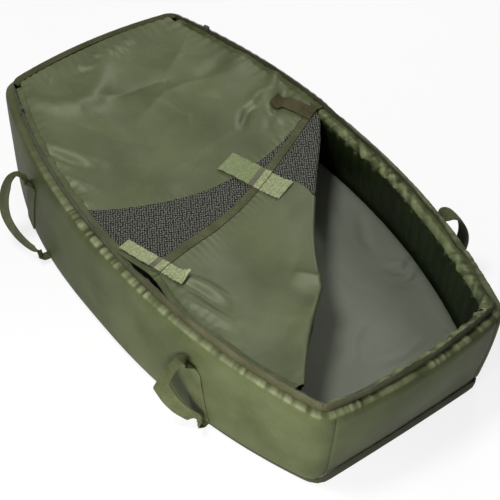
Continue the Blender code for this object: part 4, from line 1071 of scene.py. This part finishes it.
def fold_bulge(t):
    point = 0.005 * np.exp(-np.abs(t - 0.668) / 0.025)
    return 0.004 * bump(t, 0.12, 0.09) + 0.85 * FOLD_PUCKER * bump(t, 0.67, 0.13) + point


def on_cover(points, up=0.0):
    """Points in space for flat points of the cover's top layer, folds included."""
    t, beyond = fold_place(points)
    shift = fold_bulge(np.clip(t, 0, 1)) * np.exp(np.minimum(beyond, 0) / 0.10)
    spot = points + shift[..., None] * FOLD_NORMAL
    return vec(spot[..., 0], spot[..., 1], cover_level(points) + cover_relief(points) + up)


def folded(points):
    """Points in space for any flat points, turned under and hanging where past the fold."""
    t, beyond = fold_place(points)
    past = np.maximum(beyond, 0)
    edge = on_cover(points - past[..., None] * FOLD_NORMAL)
    middle = np.sin(math.pi * np.clip(t, 0, 1)) ** 0.6
    radius = mix(FOLD_END_RADIUS, FOLD_RADIUS, middle)
    bend = math.pi * radius
    angle = np.minimum(past / radius, math.pi)
    out = radius * np.sin(angle)
    fall = radius * (1 - np.cos(angle))
    drop = edge[..., 2] - 2 * radius - (MAT_TOP + CLOTH + GAP)
    retreat = HANG_RETREAT * middle
    hang = np.hypot(drop, retreat)
    travel = np.maximum(past - bend, 0)
    part = np.clip(travel / hang, 0, 1)
    down = drop * mix(part, smooth(part), 0.5)
    back = retreat * part + np.maximum(travel - hang, 0)
    sway = 0.004 * noise(vec(t * FOLD_LENGTH), 0.07, 61) * smooth(travel / 0.05)
    sway = sway * smooth((hang - travel) / 0.04)
    shift = out - back - np.abs(sway)
    x = edge[..., 0] + shift * FOLD_NORMAL[0]
    y = edge[..., 1] + shift * FOLD_NORMAL[1]
    return vec(x, y, edge[..., 2] - fall - down)


def build_head_panel():
    count_u, count_v = 190, 140
    places, _ = even_places(47.5, 58.5, 0.002, TAPE_INSET + HEAD_TAPE, 0)
    head = np.interp(np.linspace(0, 1, count_u), np.linspace(0, 1, len(places)), places)
    inset = TAPE_INSET + HEAD_TAPE * binding_share(head) + CLOTH / 2 + SEW_GAP
    bottom = ring(head, inset, WALL_TOP)[::-1, :2]
    bottom = bottom if bottom[0, 1] < 0 else bottom[::-1]
    arc_x = ARC_MIDDLE - ARC_SAGITTA
    v = np.linspace(0, 1, count_v)
    sides = []
    for edge, corner in ((near_edge, bottom[0]), (far_edge, bottom[-1])):
        fade = np.maximum(0, 1 - v * 12)[:, None]
        line = edge(mix(corner[0], arc_x, v), PANEL_EDGE)
        sides.append(line + (corner - line[0]) * fade)
    top = arc_point(np.linspace(0, 1, count_u)) - np.array([0.0010, 0])
    flat = coons(bottom, top, sides[0], sides[1])
    panel = shell("cover_head_cloth", on_cover(flat), CLOTH, COVER_NYLON)
    settle(panel, "tub", "cover_cloth", "cover_head_panel")


def edge_line(edge, start, end, count):
    return edge(np.linspace(start, end, count), PANEL_EDGE)


def build_net_and_tape():
    count_u, count_v = 190, 70
    u = np.linspace(0.0005, 0.9995, count_u)
    arc_x = ARC_MIDDLE - ARC_SAGITTA
    left = edge_line(near_edge, arc_x, SEAM_NEAR_X, count_v)
    right = edge_line(far_edge, arc_x, SEAM_FAR_X, count_v)
    flat = coons(arc_point(u), seam_curve(u), left, right)
    net = shell("cover_net", on_cover(flat), MESH, NET)
    settle(net, "tub", "mesh", "cover_mesh_panel")

    level = (MESH + CLOTH) / 2 + SEW_GAP
    u = np.linspace(0.001, 0.999, 230)
    share = np.linspace(0, 1, 9)
    width = mix(*SEAM_SHOWN, u)[:, None, None] * share[None, :, None]
    flat = seam_curve(u)[:, None] - seam_normal(u)[:, None] * width
    crown = 0.0009 * np.sin(math.pi * share)[None]
    tape = shell("cover_seam_tape", on_cover(flat, level), CLOTH, SEAM_POLYESTER, -crown)
    settle(tape, "tub", "zip_tape", "cover_cross_tape")


def edge_tape(name, edge, start, end):
    """Tape sewn along a side of the cover, from one X to another."""
    xs = np.linspace(start, end, max(3, round((end - start) / 0.0026)))
    share = np.linspace(0, 1, 8)
    insets = np.linspace(COVER_EDGE, PANEL_EDGE - SEW_GAP, 8)
    flat = np.stack([edge(xs, inset) for inset in insets], 1)
    grid = on_cover(flat)
    relief = 0.0005 * gathers(xs, 0.017, 71)[:, None] * (1 - share[None])
    if edge is far_edge:
        grid, relief = grid[:, ::-1], relief[:, ::-1]
    return shell(name, grid, CLOTH, COVER_TAPE, relief)


HEAD_INSET = TAPE_INSET + HEAD_TAPE + CLOTH / 2 + SEW_GAP
HEAD_X = float(ring(np.array([58.5]), HEAD_INSET, WALL_TOP)[0, 0])
FLAP_TIP = 0.985
SEAM_SPLIT = 9 / 15
MESH_T, MESH_STEP, MESH_LAST = 0.33, 0.004, 0.025
FLAP_OUTLINE = Outline(PANEL_EDGE)
FLAP_CORNER = np.array([float(FLAP_OUTLINE.half), float(FLAP_OUTLINE.end)])
CORNER_T = float(fold_place(FLAP_CORNER)[0])


def fold_point(t):
    return FOLD_HEAD + FOLD_DIRECTION * (FOLD_LENGTH * np.asarray(t, float))[..., None]


def border_point(t):
    t = np.asarray(t, float)
    first = far_edge(mix(FOLD_HEAD[0], FLAP_CORNER[0], t / CORNER_T), PANEL_EDGE)
    part = np.clip((t - CORNER_T) / (1 - CORNER_T), 0, 1)[..., None]
    second = FLAP_CORNER + (FOLD_FOOT - FLAP_CORNER) * part
    second = second + np.array([1.0, 0.0]) * (END_BULGE * 2.4 * part * (1 - part))
    return np.where((t <= CORNER_T)[..., None], first, second)


def lip_curve(t):
    t = np.asarray(t, float)[..., None]
    start = seam_curve(SEAM_SPLIT) + seam_normal(0.5) * SEW_GAP
    end = fold_point(MESH_T)
    handle, lift = start + np.array([0.004, 0.040]), end + np.array([-0.034, 0.010])
    first = start * (1 - t) ** 3 + handle * 3 * t * (1 - t) ** 2
    return first + lift * 3 * t * t * (1 - t) + end * t**3


def under_flat(ts, count):
    """Flat points from the fold out to the free edge, close together round the bend."""
    start, end = fold_point(ts), border_point(ts)
    reach = np.linalg.norm(end - start, axis=-1)[:, None]
    wrap = np.linspace(0, 0.026, 13)[1:]
    wrap = np.minimum(wrap[None], reach * (np.arange(1, 13) / 14)[None])
    rest = wrap[:, -1:] + (reach - wrap[:, -1:]) * np.linspace(0, 1, count + 1)[None, 1:]
    run = np.hstack([wrap, rest])
    return start[:, None] + (end - start)[:, None] * (run / reach)[..., None]


def under_relief(flat):
    _, beyond = fold_place(flat)
    return 0.0012 * noise(flat, 0.06, 81) * smooth(beyond / 0.05)


def build_foot_panel():
    count_v = 150
    v = np.linspace(0, 1, count_v)
    aside = seam_normal(0.5) * SEW_GAP
    near = near_edge(mix(SEAM_NEAR_X, FOLD_FOOT_X, v * FLAP_TIP), PANEL_EDGE)
    near = near + aside * (1 - v)[:, None]
    ts = mix(MESH_T, 1, v * FLAP_TIP)
    fold = fold_point(ts)
    along_seam, along_lip = 100, 40
    lip = np.vstack([
        seam_curve(np.linspace(0, SEAM_SPLIT, along_seam)) + aside,
        lip_curve(np.linspace(0, 1, along_lip + 1))[1:],
    ])
    share = np.linspace(0, 1, len(lip))
    foot = near[-1] + (fold[-1] - near[-1]) * share[:, None]
    top = coons(lip, foot, near, fold)
    under = under_flat(ts, 70)
    flat = np.concatenate([top, under], 1)
    return shell("cover_foot_cloth", folded(flat), CLOTH, COVER_NYLON, under_relief(flat))


def build_net_corner():
    count_v, count_u = 56, 44
    v = np.linspace(0, 1, count_v)
    seam = seam_curve(mix(SEAM_SPLIT + 0.004, 0.985, v)) + seam_normal(0.5) * SEW_GAP
    ts = mix(MESH_T - MESH_STEP, MESH_LAST, v)
    fold = fold_point(ts)
    u = np.linspace(0, 1, count_u)
    travel = np.gradient(lip_curve(u), axis=0)
    lip = lip_curve(u) + unit(vec(-travel[:, 1], travel[:, 0])) * (SEW_GAP + 0.0004)
    lip[0], lip[-1] = seam[0], fold[0]
    head = seam[-1] + (fold[-1] - seam[-1]) * u[:, None]
    top = coons(lip, head, seam, fold)
    under = under_flat(ts, 40)
    flat = np.concatenate([top, under], 1)
    grid = folded(flat)[:, ::-1]
    return shell("cover_net_corner", grid, MESH, NET, under_relief(flat)[:, ::-1])


def build_tucked_tape():
    cloth, mesh = np.linspace(0.965, MESH_T, 150), np.linspace(MESH_T - MESH_STEP, MESH_LAST, 70)
    ts = np.concatenate([cloth, mesh])
    line = border_point(ts)
    way = unit(np.gradient(line, axis=0))
    right = vec(way[:, 1], -way[:, 0])
    places = np.linspace(SEW_GAP, EDGE_TAPE, 7)
    flat = line[:, None] + right[:, None] * places[None, :, None]
    return shell("flap_tucked_tape", folded(flat), CLOTH, COVER_TAPE)


def bend_with_flap(piece, slot, *nodes):
    """Cloth of the flap, its transform baked into its points, in place of its nodes."""
    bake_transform(piece)
    finish_as(piece, slot, *nodes)


build_head_panel()
build_net_and_tape()
for side_name, edge, last_x in (("near", near_edge, SEAM_NEAR_X), ("far", far_edge, SEAM_FAR_X)):
    tape = edge_tape(f"{side_name}_cover_tape", edge, HEAD_X, last_x - SEW_GAP)
    settle(tape, "tub", "zip_tape", f"{side_name}_cover_zip_tape")
tip_x = mix(SEAM_NEAR_X, FOLD_FOOT_X, FLAP_TIP)
flap_tape = edge_tape("flap_near_tape", near_edge, SEAM_NEAR_X + SEW_GAP, tip_x)
bend_with_flap(flap_tape, "zip_tape", "flap_near_zip_tape")
bend_with_flap(build_foot_panel(), "cover_cloth", "cover_foot_panel")
bend_with_flap(build_net_corner(), "mesh", "cover_mesh_corner")
bend_with_flap(build_tucked_tape(), "zip_tape", "flap_tucked_zip_tape")


# Roll-up straps: near and middle show a pale hook patch, the far one its brown back

# Share of the seam passed, width, and the plan direction of the loop limb
STRAPS = {
    "near": (0.036, 0.027, (-0.955, -0.297)),
    "middle": (0.602, 0.050, (-0.945, -0.327)),
    "far": (0.963, 0.030, (-0.930, -0.300)),
}
LOOP_LENGTH, HOOK_LENGTH = 0.066, 0.044
ANCHOR_LEVEL = (MESH + CLOTH) / 2 + SEW_GAP + (CLOTH + WEBBING) / 2 + SEW_GAP
LOOP_LEVEL = ANCHOR_LEVEL + (HOOK_TAPE - WEBBING) / 2
HOOK_LEVEL = (CLOTH + HOOK_TAPE) / 2 + SEW_GAP


def strap_grid(root, direction, normal, start, length, width, level, curl, rows, columns=15):
    across = np.array([-direction[1], direction[0]])
    skew = -(across @ normal) / (direction @ normal)
    f = np.linspace(0, 1, rows + 1)[:, None]
    k = np.linspace(-1, 1, columns)[None]
    turn = 1 - 0.7 * f if length > CROSS_TAPE * 1.3 else np.ones_like(f)
    side = across + direction * (skew * turn)[..., None]
    spot = root + direction * (start + length * f)[..., None] + side * (width / 2 * k)[..., None]
    plain = on_cover(spot)
    middle = plain[:, columns // 2 : columns // 2 + 1, 2:]
    plain[..., 2:] = np.maximum(plain[..., 2:], mix(plain[..., 2:], middle, 0.5))
    plain[..., 2] += level + curl(f, k)
    return plain


def build_strap(name):
    u, width, heading = STRAPS[name]
    direction = unit(np.array(heading))
    normal, root = seam_normal(u), seam_curve(u)
    over = (CROSS_TAPE + 0.002) / abs(direction @ normal)

    def flat(f, k):
        return 0 * f * k

    def lie(f, k):
        return 0.0016 * np.sin(3 * math.pi * f) ** 2 + 0 * k

    def curled(f, k):
        ripple = 0.0018 * np.sin(5 * math.pi * f) ** 2 * smooth(4 * f)
        lift = 0.012 * smooth((f - 0.5) * 2) * (1 if name == "near" else 0.3)
        return ripple + lift * (0.6 + 0.4 * k)

    grid = strap_grid(root, direction, normal, 0, over, width, ANCHOR_LEVEL, flat, 24)
    web, patch = (STRAP_BACK, STRAP_BACK) if name == "far" else (STRAP_WEB, HOOK_PALE)
    piece = shell(f"{name}_strap_web", grid[:, ::-1], WEBBING, web)
    piece.data.materials.append(patch)
    for face in piece.data.polygons:
        off = seam_curve(u) - np.array(face.center)[:2]
        face.material_index = int(off @ normal < SEAM_SHOWN[1])
    settle(piece, "tub", "strap_web", f"{name}_strap_anchor")
    grid = strap_grid(root, direction, normal, over + 2 * GAP, LOOP_LENGTH, width, LOOP_LEVEL, lie, 50)
    pile = {"near": HOOK_PALE, "middle": HOOK_LOOP, "far": STRAP_BACK}[name]
    piece = shell(f"{name}_strap_loop_pile", grid[:, ::-1], HOOK_TAPE, pile)
    settle(piece, f"{name}_strap_loop", "hook_loop", f"{name}_strap_loop_tape")
    if name != "far":
        grid = strap_grid(root, -direction, normal, 3 * GAP, HOOK_LENGTH, width, HOOK_LEVEL, curled, 44)
        piece = shell(f"{name}_strap_hook_pile", grid[:, ::-1], HOOK_TAPE, HOOK_PALE)
        settle(piece, f"{name}_strap_hook", "hook_loop", f"{name}_strap_hook_tape")


for strap_name in STRAPS:
    build_strap(strap_name)

xs = np.linspace(-0.440, -0.392, 24)
insets = np.linspace(COVER_EDGE, COVER_EDGE + 0.010, 8)[::-1]
tab_grid = on_cover(np.stack([far_edge(xs, inset) for inset in insets], 1), CLOTH + SEW_GAP)
tab = shell("far_end_tab", tab_grid, CLOTH, HANDLE_WEB)
settle(tab, "tub", "webbing", "far_zip_end_tab")


# Handles

# Side, X of the loop's upper and lower ends and of the strip's foot, swing in degrees, how
# far the loop stands out, how limp it hangs, and how its webbing turns at the outermost
# point: the direction of its breadth, in shares of the loop's reach, rise and width.
HANDLES = {
    "near_head": (-1, -0.282, -0.222, -0.310, 48, 0.053, 0, (-0.71, 0.29, 0.64)),
    "near_foot": (-1, 0.241, 0.272, 0.266, 39, 0.049, 0, (-0.82, 0.48, 0.31)),
    "far_head": (1, -0.282, -0.222, -0.310, -40, 0.058, 0.6, (0.0, 0.0, 1.0)),
    "far_foot": (1, 0.241, 0.256, 0.258, -15, 0.054, 0, (0.0, 0.0, 1.0)),
}

# Route of a loop from its upper end to its lower one: shares of its reach and its height
HANDLE_ROUTE = [
    (0.00, 1.00), (0.00, 1.015), (0.03, 1.04), (0.14, 1.07), (0.34, 1.07), (0.60, 1.00), (0.83, 0.87),
    (0.97, 0.71), (0.99, 0.55), (0.88, 0.40), (0.68, 0.26), (0.44, 0.15), (0.22, 0.08), (0.08, 0.05),
    (0.02, 0.035), (0.00, 0.015), (0.00, 0.00),
]
CREASED = "near_foot"
CREASED_ROUTE = [
    (0.00, 1.00), (0.00, 1.015), (0.04, 1.035), (0.20, 1.02), (0.55, 0.90), (0.90, 0.73), (1.00, 0.67),
    (0.97, 0.61), (0.80, 0.42), (0.54, 0.25), (0.28, 0.15), (0.10, 0.09), (0.03, 0.05), (0.00, 0.02),
    (0.00, 0.00),
]
HANDLE_WIDTH, HANDLE_END = 0.038, 0.018
HANDLE_TOP, HANDLE_LOW, HANDLE_STANDOFF = 0.162, 0.024, 0.014


def wall_face(sign, x, z, out):
    """Point on the outside of a side wall, a distance out from the cloth."""
    share = np.clip((z - BASE_HEIGHT) / WALL_HEIGHT, 0, 1)
    form = Outline(-WALL_BELLY * np.sin(math.pi * share) ** 0.7, z)
    slope = (form.side(x + 0.001) - form.side(x - 0.001)) / 0.002
    normal = unit(vec(-slope, 1.0, 0.0))
    spot = vec(x, form.side(x), z) + normal * np.asarray(out)[..., None]
    return spot * np.array([1, sign, 1])


def centripetal(points, count):
    points = np.asarray(points, float)
    padded = np.vstack([points[:1], points, points[-1:]])
    place = np.linspace(0, 1, count + 1) * (len(points) - 1)
    k = np.minimum(place.astype(int), len(points) - 2)
    t = (place - k)[:, None]
    a, b, c, d = (padded[k + i] for i in range(4))
    square, cube = 2 * a - 5 * b + 4 * c - d, 3 * b - 3 * c + d - a
    return 0.5 * (2 * b + (c - a) * t + square * t * t + cube * t**3)


def ribbon(centre, across, width, columns=11):
    k = np.linspace(-0.5, 0.5, columns)
    return centre[:, None] + across[:, None] * (np.asarray(width)[:, None] * k[None])[..., None]


def build_handle(name):
    sign, x_top, x_low, x_foot, swing, extent, droop, twist = HANDLES[name]
    low = wall_face(sign, x_low, HANDLE_LOW, HANDLE_STANDOFF)
    top = wall_face(sign, x_top, HANDLE_TOP, HANDLE_STANDOFF)
    rise = unit(top - low)
    turn = math.radians(swing)
    reach = np.array([-math.sin(turn), sign * math.cos(turn), 0.0])
    reach = unit(reach - rise * (reach @ rise))
    across = np.cross(rise, reach)
    across = across if across[0] > 0 else -across
    length = np.linalg.norm(top - low)
    route = []
    for r, a in CREASED_ROUTE if name == CREASED else HANDLE_ROUTE:
        a = max(a - droop * smooth(r), min(a, HANDLE_ROUTE[-2][1]))
        route.append(low + reach * (r * extent) + rise * (a * length))
    count = 156
    line = centripetal(route, count)
    f = np.linspace(0, 1, count + 1)[:, None]
    end = np.minimum(f, 1 - f)
    flat = np.broadcast_to(reach * twist[0] + rise * twist[1] + across * twist[2], line.shape)
    turned = smooth(4 * f - 0.3) * smooth(5 - 5 * f - 0.3)
    along = unit(np.gradient(line, axis=0))
    square = 0.7 * smooth((f - 0.62) / 0.15) if name == CREASED else 1.0
    flat = unit(flat - along * (square * (flat * along).sum(1, keepdims=True)))
    breadth = unit(mix(across, flat, turned))
    ramp = mix(6, 12, smooth(6 * f - 4)) if name == CREASED else 6
    width = mix(HANDLE_END, HANDLE_WIDTH, smooth((end - 0.05) * ramp))
    grid = ribbon(line, breadth, width[:, 0])
    cup = 0.0014 * (1 - np.linspace(-1, 1, 11) ** 2)[None] * smooth((end - 0.1) * 6)
    loop = shell(f"{name}_handle_web", grid[:, ::-1], WEBBING, HANDLE_WEB, cup - 0.0007)
    settle(loop, f"{name}_handle", "webbing", f"{name}_handle_loop")

    seat = SEW_GAP + WEBBING / 2
    lean = (x_top - x_foot) / (HANDLE_TOP - BASE_HEIGHT)
    k = np.linspace(-0.5, 0.5, 9)
    rows = []
    for z in np.linspace(0.020, 0.135, 30):
        x = x_top + (z - HANDLE_TOP) * lean
        rows.append(wall_face(sign, x + HANDLE_WIDTH * k, z, np.full(9, seat)))
    for z, stand, breadth in ((0.144, 0.0022, 0.033), (0.151, 0.0062, 0.027)):
        rows.append(wall_face(sign, x_top + breadth * k, z, np.full(9, stand)))
    for gap in (0.0050, GAP):
        rows.append((top - rise * gap) + across * (HANDLE_END * k)[:, None])
    grid = np.array(rows)
    grid = grid[:, ::-1] if sign > 0 else grid
    strip = shell(f"{name}_handle_stay", densify(grid, 2), WEBBING, HANDLE_WEB)
    settle(strip, "tub", "webbing", f"{name}_handle_strip")

    level = BASE_HEIGHT - GAP - WEBBING / 2
    base = Outline(0, base=True)
    xs = x_low + HANDLE_END * k
    rows = [vec(xs, sign * (base.side(xs) + GAP), level)]
    for z, stand in ((level, 0.000), (level, 0.0070), (level + 0.0012, 0.0105)):
        row = wall_face(sign, xs, BASE_HEIGHT, np.full(9, stand))
        row[:, 2] = z
        rows.append(row)
    for gap in (0.0050, GAP):
        rows.append((low - rise * gap) + across * (HANDLE_END * k)[:, None])
    grid = np.array(rows)
    grid = grid[:, ::-1] if sign > 0 else grid
    tail = shell(f"{name}_handle_end", densify(grid, 4), WEBBING, HANDLE_WEB)
    settle(tail, "tub", "webbing", f"{name}_handle_tail")


def densify(grid, times):
    """More rows on a smooth curve through each column of a grid."""
    count = (len(grid) - 1) * times
    return np.stack([centripetal(grid[:, j], count) for j in range(grid.shape[1])], 1)


for handle_name in HANDLES:
    build_handle(handle_name)


# Sliders keep their solids, with a painted finish

for node in ("near_zip_slider", "far_zip_slider", "near_zip_pull", "far_zip_pull"):
    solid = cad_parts[node]
    solid.data.materials.clear()
    solid.data.materials.append(SLIDER_PAINT)


# How each sheet is held, and on what

LEAST_SHARE = 0.31  # least share of its rectangle that a sheet's area is taken to fill


def held_as(held, rests_on, *names):
    for name in names:
        width, length, area = CUTS[name]
        area = min(max(area, LEAST_SHARE * width * length), width * length)


for side_name in WALLS:
    held_as("stretched", [f"{side_name}_wall_foam"], f"{side_name}_wall_skin", f"{side_name}_wall_inner")
CUTS["base_tray"] = (1.030, 0.630, 0.55)
held_as("stretched", ["base_foam"], "base_tray")
held_as("stretched", ["near_wall_panel", "far_wall_panel", "foot_wall_panel"], "rim_tape")
held_as("stretched", ["head_wall_panel"], "head_end_binding")
held_as("laid", ["head_binding", "near_cover_zip_tape", "far_cover_zip_tape"], "cover_head_cloth")
held_as("laid", ["cover_head_panel", "near_cover_zip_tape", "far_cover_zip_tape"], "cover_net")
held_as("laid", ["cover_mesh_panel"], "cover_seam_tape", "near_cover_tape", "far_cover_tape")
held_as("folded", ["cover_cross_tape", "floor_mat"], "cover_foot_cloth", "cover_net_corner")
held_as("laid", ["cover_foot_panel"], "flap_near_tape")
held_as("hung", ["cover_foot_panel"], "flap_tucked_tape")
held_as("laid", ["far_wall_panel"], "far_end_tab")
for strap_name in STRAPS:
    held_as("laid", ["cover_cross_tape"], f"{strap_name}_strap_web")
    held_as("laid", [f"{strap_name}_strap_anchor"], f"{strap_name}_strap_loop_pile")
for strap_name in ("near", "middle"):
    held_as("laid", [f"{strap_name}_strap_anchor"], f"{strap_name}_strap_hook_pile")
for handle_name, row in HANDLES.items():
    wall = "near_wall_panel" if row[0] < 0 else "far_wall_panel"
    held_as("hung", [f"{handle_name}_handle_strip"], f"{handle_name}_handle_web")
    held_as("laid", [wall], f"{handle_name}_handle_stay", f"{handle_name}_handle_end")


# Floor, light and camera

# Name, place, target, size in metres and power in watts
LIGHTS = [
    ("key_softbox", (-0.15, -0.88, 2.6), (0.05, 0, 0.1), 0.70, 48),
    ("near_fill", (0.64, -0.82, 0.32), (0.48, -0.25, 0.1), 0.35, 7.5),
    ("far_fill", (-1.1, 2.1, 1.8), (0, 0.1, 0.1), 0.8, 21),
]
FLOOR_HALF, FLOOR_GLOW, WORLD_STRENGTH = 6.0, 0.80, 0.19
CAMERA_LENS, CAMERA_SENSOR, CAMERA_PLACE = 98.97, 36, (1.41280, -1.09958, 1.9759)
CAMERA_RIGHT, CAMERA_UP = (0.6007, 0.7989, 0.0299), (-0.5984, 0.4246, 0.6796)


def build_stage():
    mesh = bpy.data.meshes.new("studio_floor")
    size = FLOOR_HALF
    corners = [(-size, -size, 0), (size, -size, 0), (size, size, 0), (-size, size, 0)]
    mesh.from_pydata(corners, [], [(0, 1, 2, 3)])
    floor = bpy.data.objects.new("studio_floor", mesh)
    bpy.context.scene.collection.objects.link(floor)
    made = bpy.data.materials.new("matt_white_floor")
    made.use_nodes = True
    tree = made.node_tree
    tree.nodes.clear()
    paper = add(tree, "ShaderNodeBsdfDiffuse", {"Color": (0.9, 0.9, 0.9, 1)})
    white = add(tree, "ShaderNodeEmission", {"Color": (1, 1, 1, 1), "Strength": 1.0})
    rays = add(tree, "ShaderNodeLightPath")
    seen = reckon(tree, "MAXIMUM", rays.outputs["Is Camera Ray"], rays.outputs["Is Glossy Ray"])
    seen = reckon(tree, "MAXIMUM", seen, rays.outputs["Is Transmission Ray"])
    share = reckon(tree, "MULTIPLY", seen, FLOOR_GLOW)
    both = add(tree, "ShaderNodeMixShader", {0: share, 1: paper.outputs[0], 2: white.outputs[0]})
    add(tree, "ShaderNodeOutputMaterial", {"Surface": both.outputs[0]})
    mesh.materials.append(made)


def area_light(name, place, target, size, power):
    data = bpy.data.lights.new(name, "AREA")
    data.shape = "DISK"
    data.size = size
    data.energy = power
    lamp = bpy.data.objects.new(name, data)
    lamp.location = place
    lamp.rotation_mode = "QUATERNION"
    lamp.rotation_quaternion = (Vector(target) - Vector(place)).to_track_quat("-Z", "Y")
    bpy.context.scene.collection.objects.link(lamp)


def build_world():
    world = bpy.data.worlds.new("soft_studio")
    world.use_nodes = True
    tree = world.node_tree
    tree.nodes.clear()
    dim = add(tree, "ShaderNodeBackground", {"Color": (1.0, 0.99, 0.95, 1), "Strength": WORLD_STRENGTH})
    white = add(tree, "ShaderNodeBackground", {"Color": (1, 1, 1, 1), "Strength": 1.0})
    rays = add(tree, "ShaderNodeLightPath")
    inputs = {0: rays.outputs["Is Camera Ray"], 1: dim.outputs[0], 2: white.outputs[0]}
    both = add(tree, "ShaderNodeMixShader", inputs)
    add(tree, "ShaderNodeOutputWorld", {"Surface": both.outputs[0]})
    bpy.context.scene.world = world


def build_camera():
    data = bpy.data.cameras.new("photo_camera")
    data.lens, data.sensor_width = CAMERA_LENS, CAMERA_SENSOR
    data.clip_start, data.clip_end = 0.05, 50
    camera = bpy.data.objects.new("photo_camera", data)
    right, up = Vector(CAMERA_RIGHT), Vector(CAMERA_UP)
    back = right.cross(up).normalized()
    turn = Matrix((right.normalized(), back.cross(right).normalized(), back)).transposed()
    camera.matrix_world = Matrix.Translation(CAMERA_PLACE) @ turn.to_4x4()
    bpy.context.scene.collection.objects.link(camera)
    bpy.context.scene.camera = camera


build_stage()
for light in LIGHTS:
    area_light(*light)
build_world()
build_camera()
bpy.context.scene.view_settings.view_transform = "Standard"
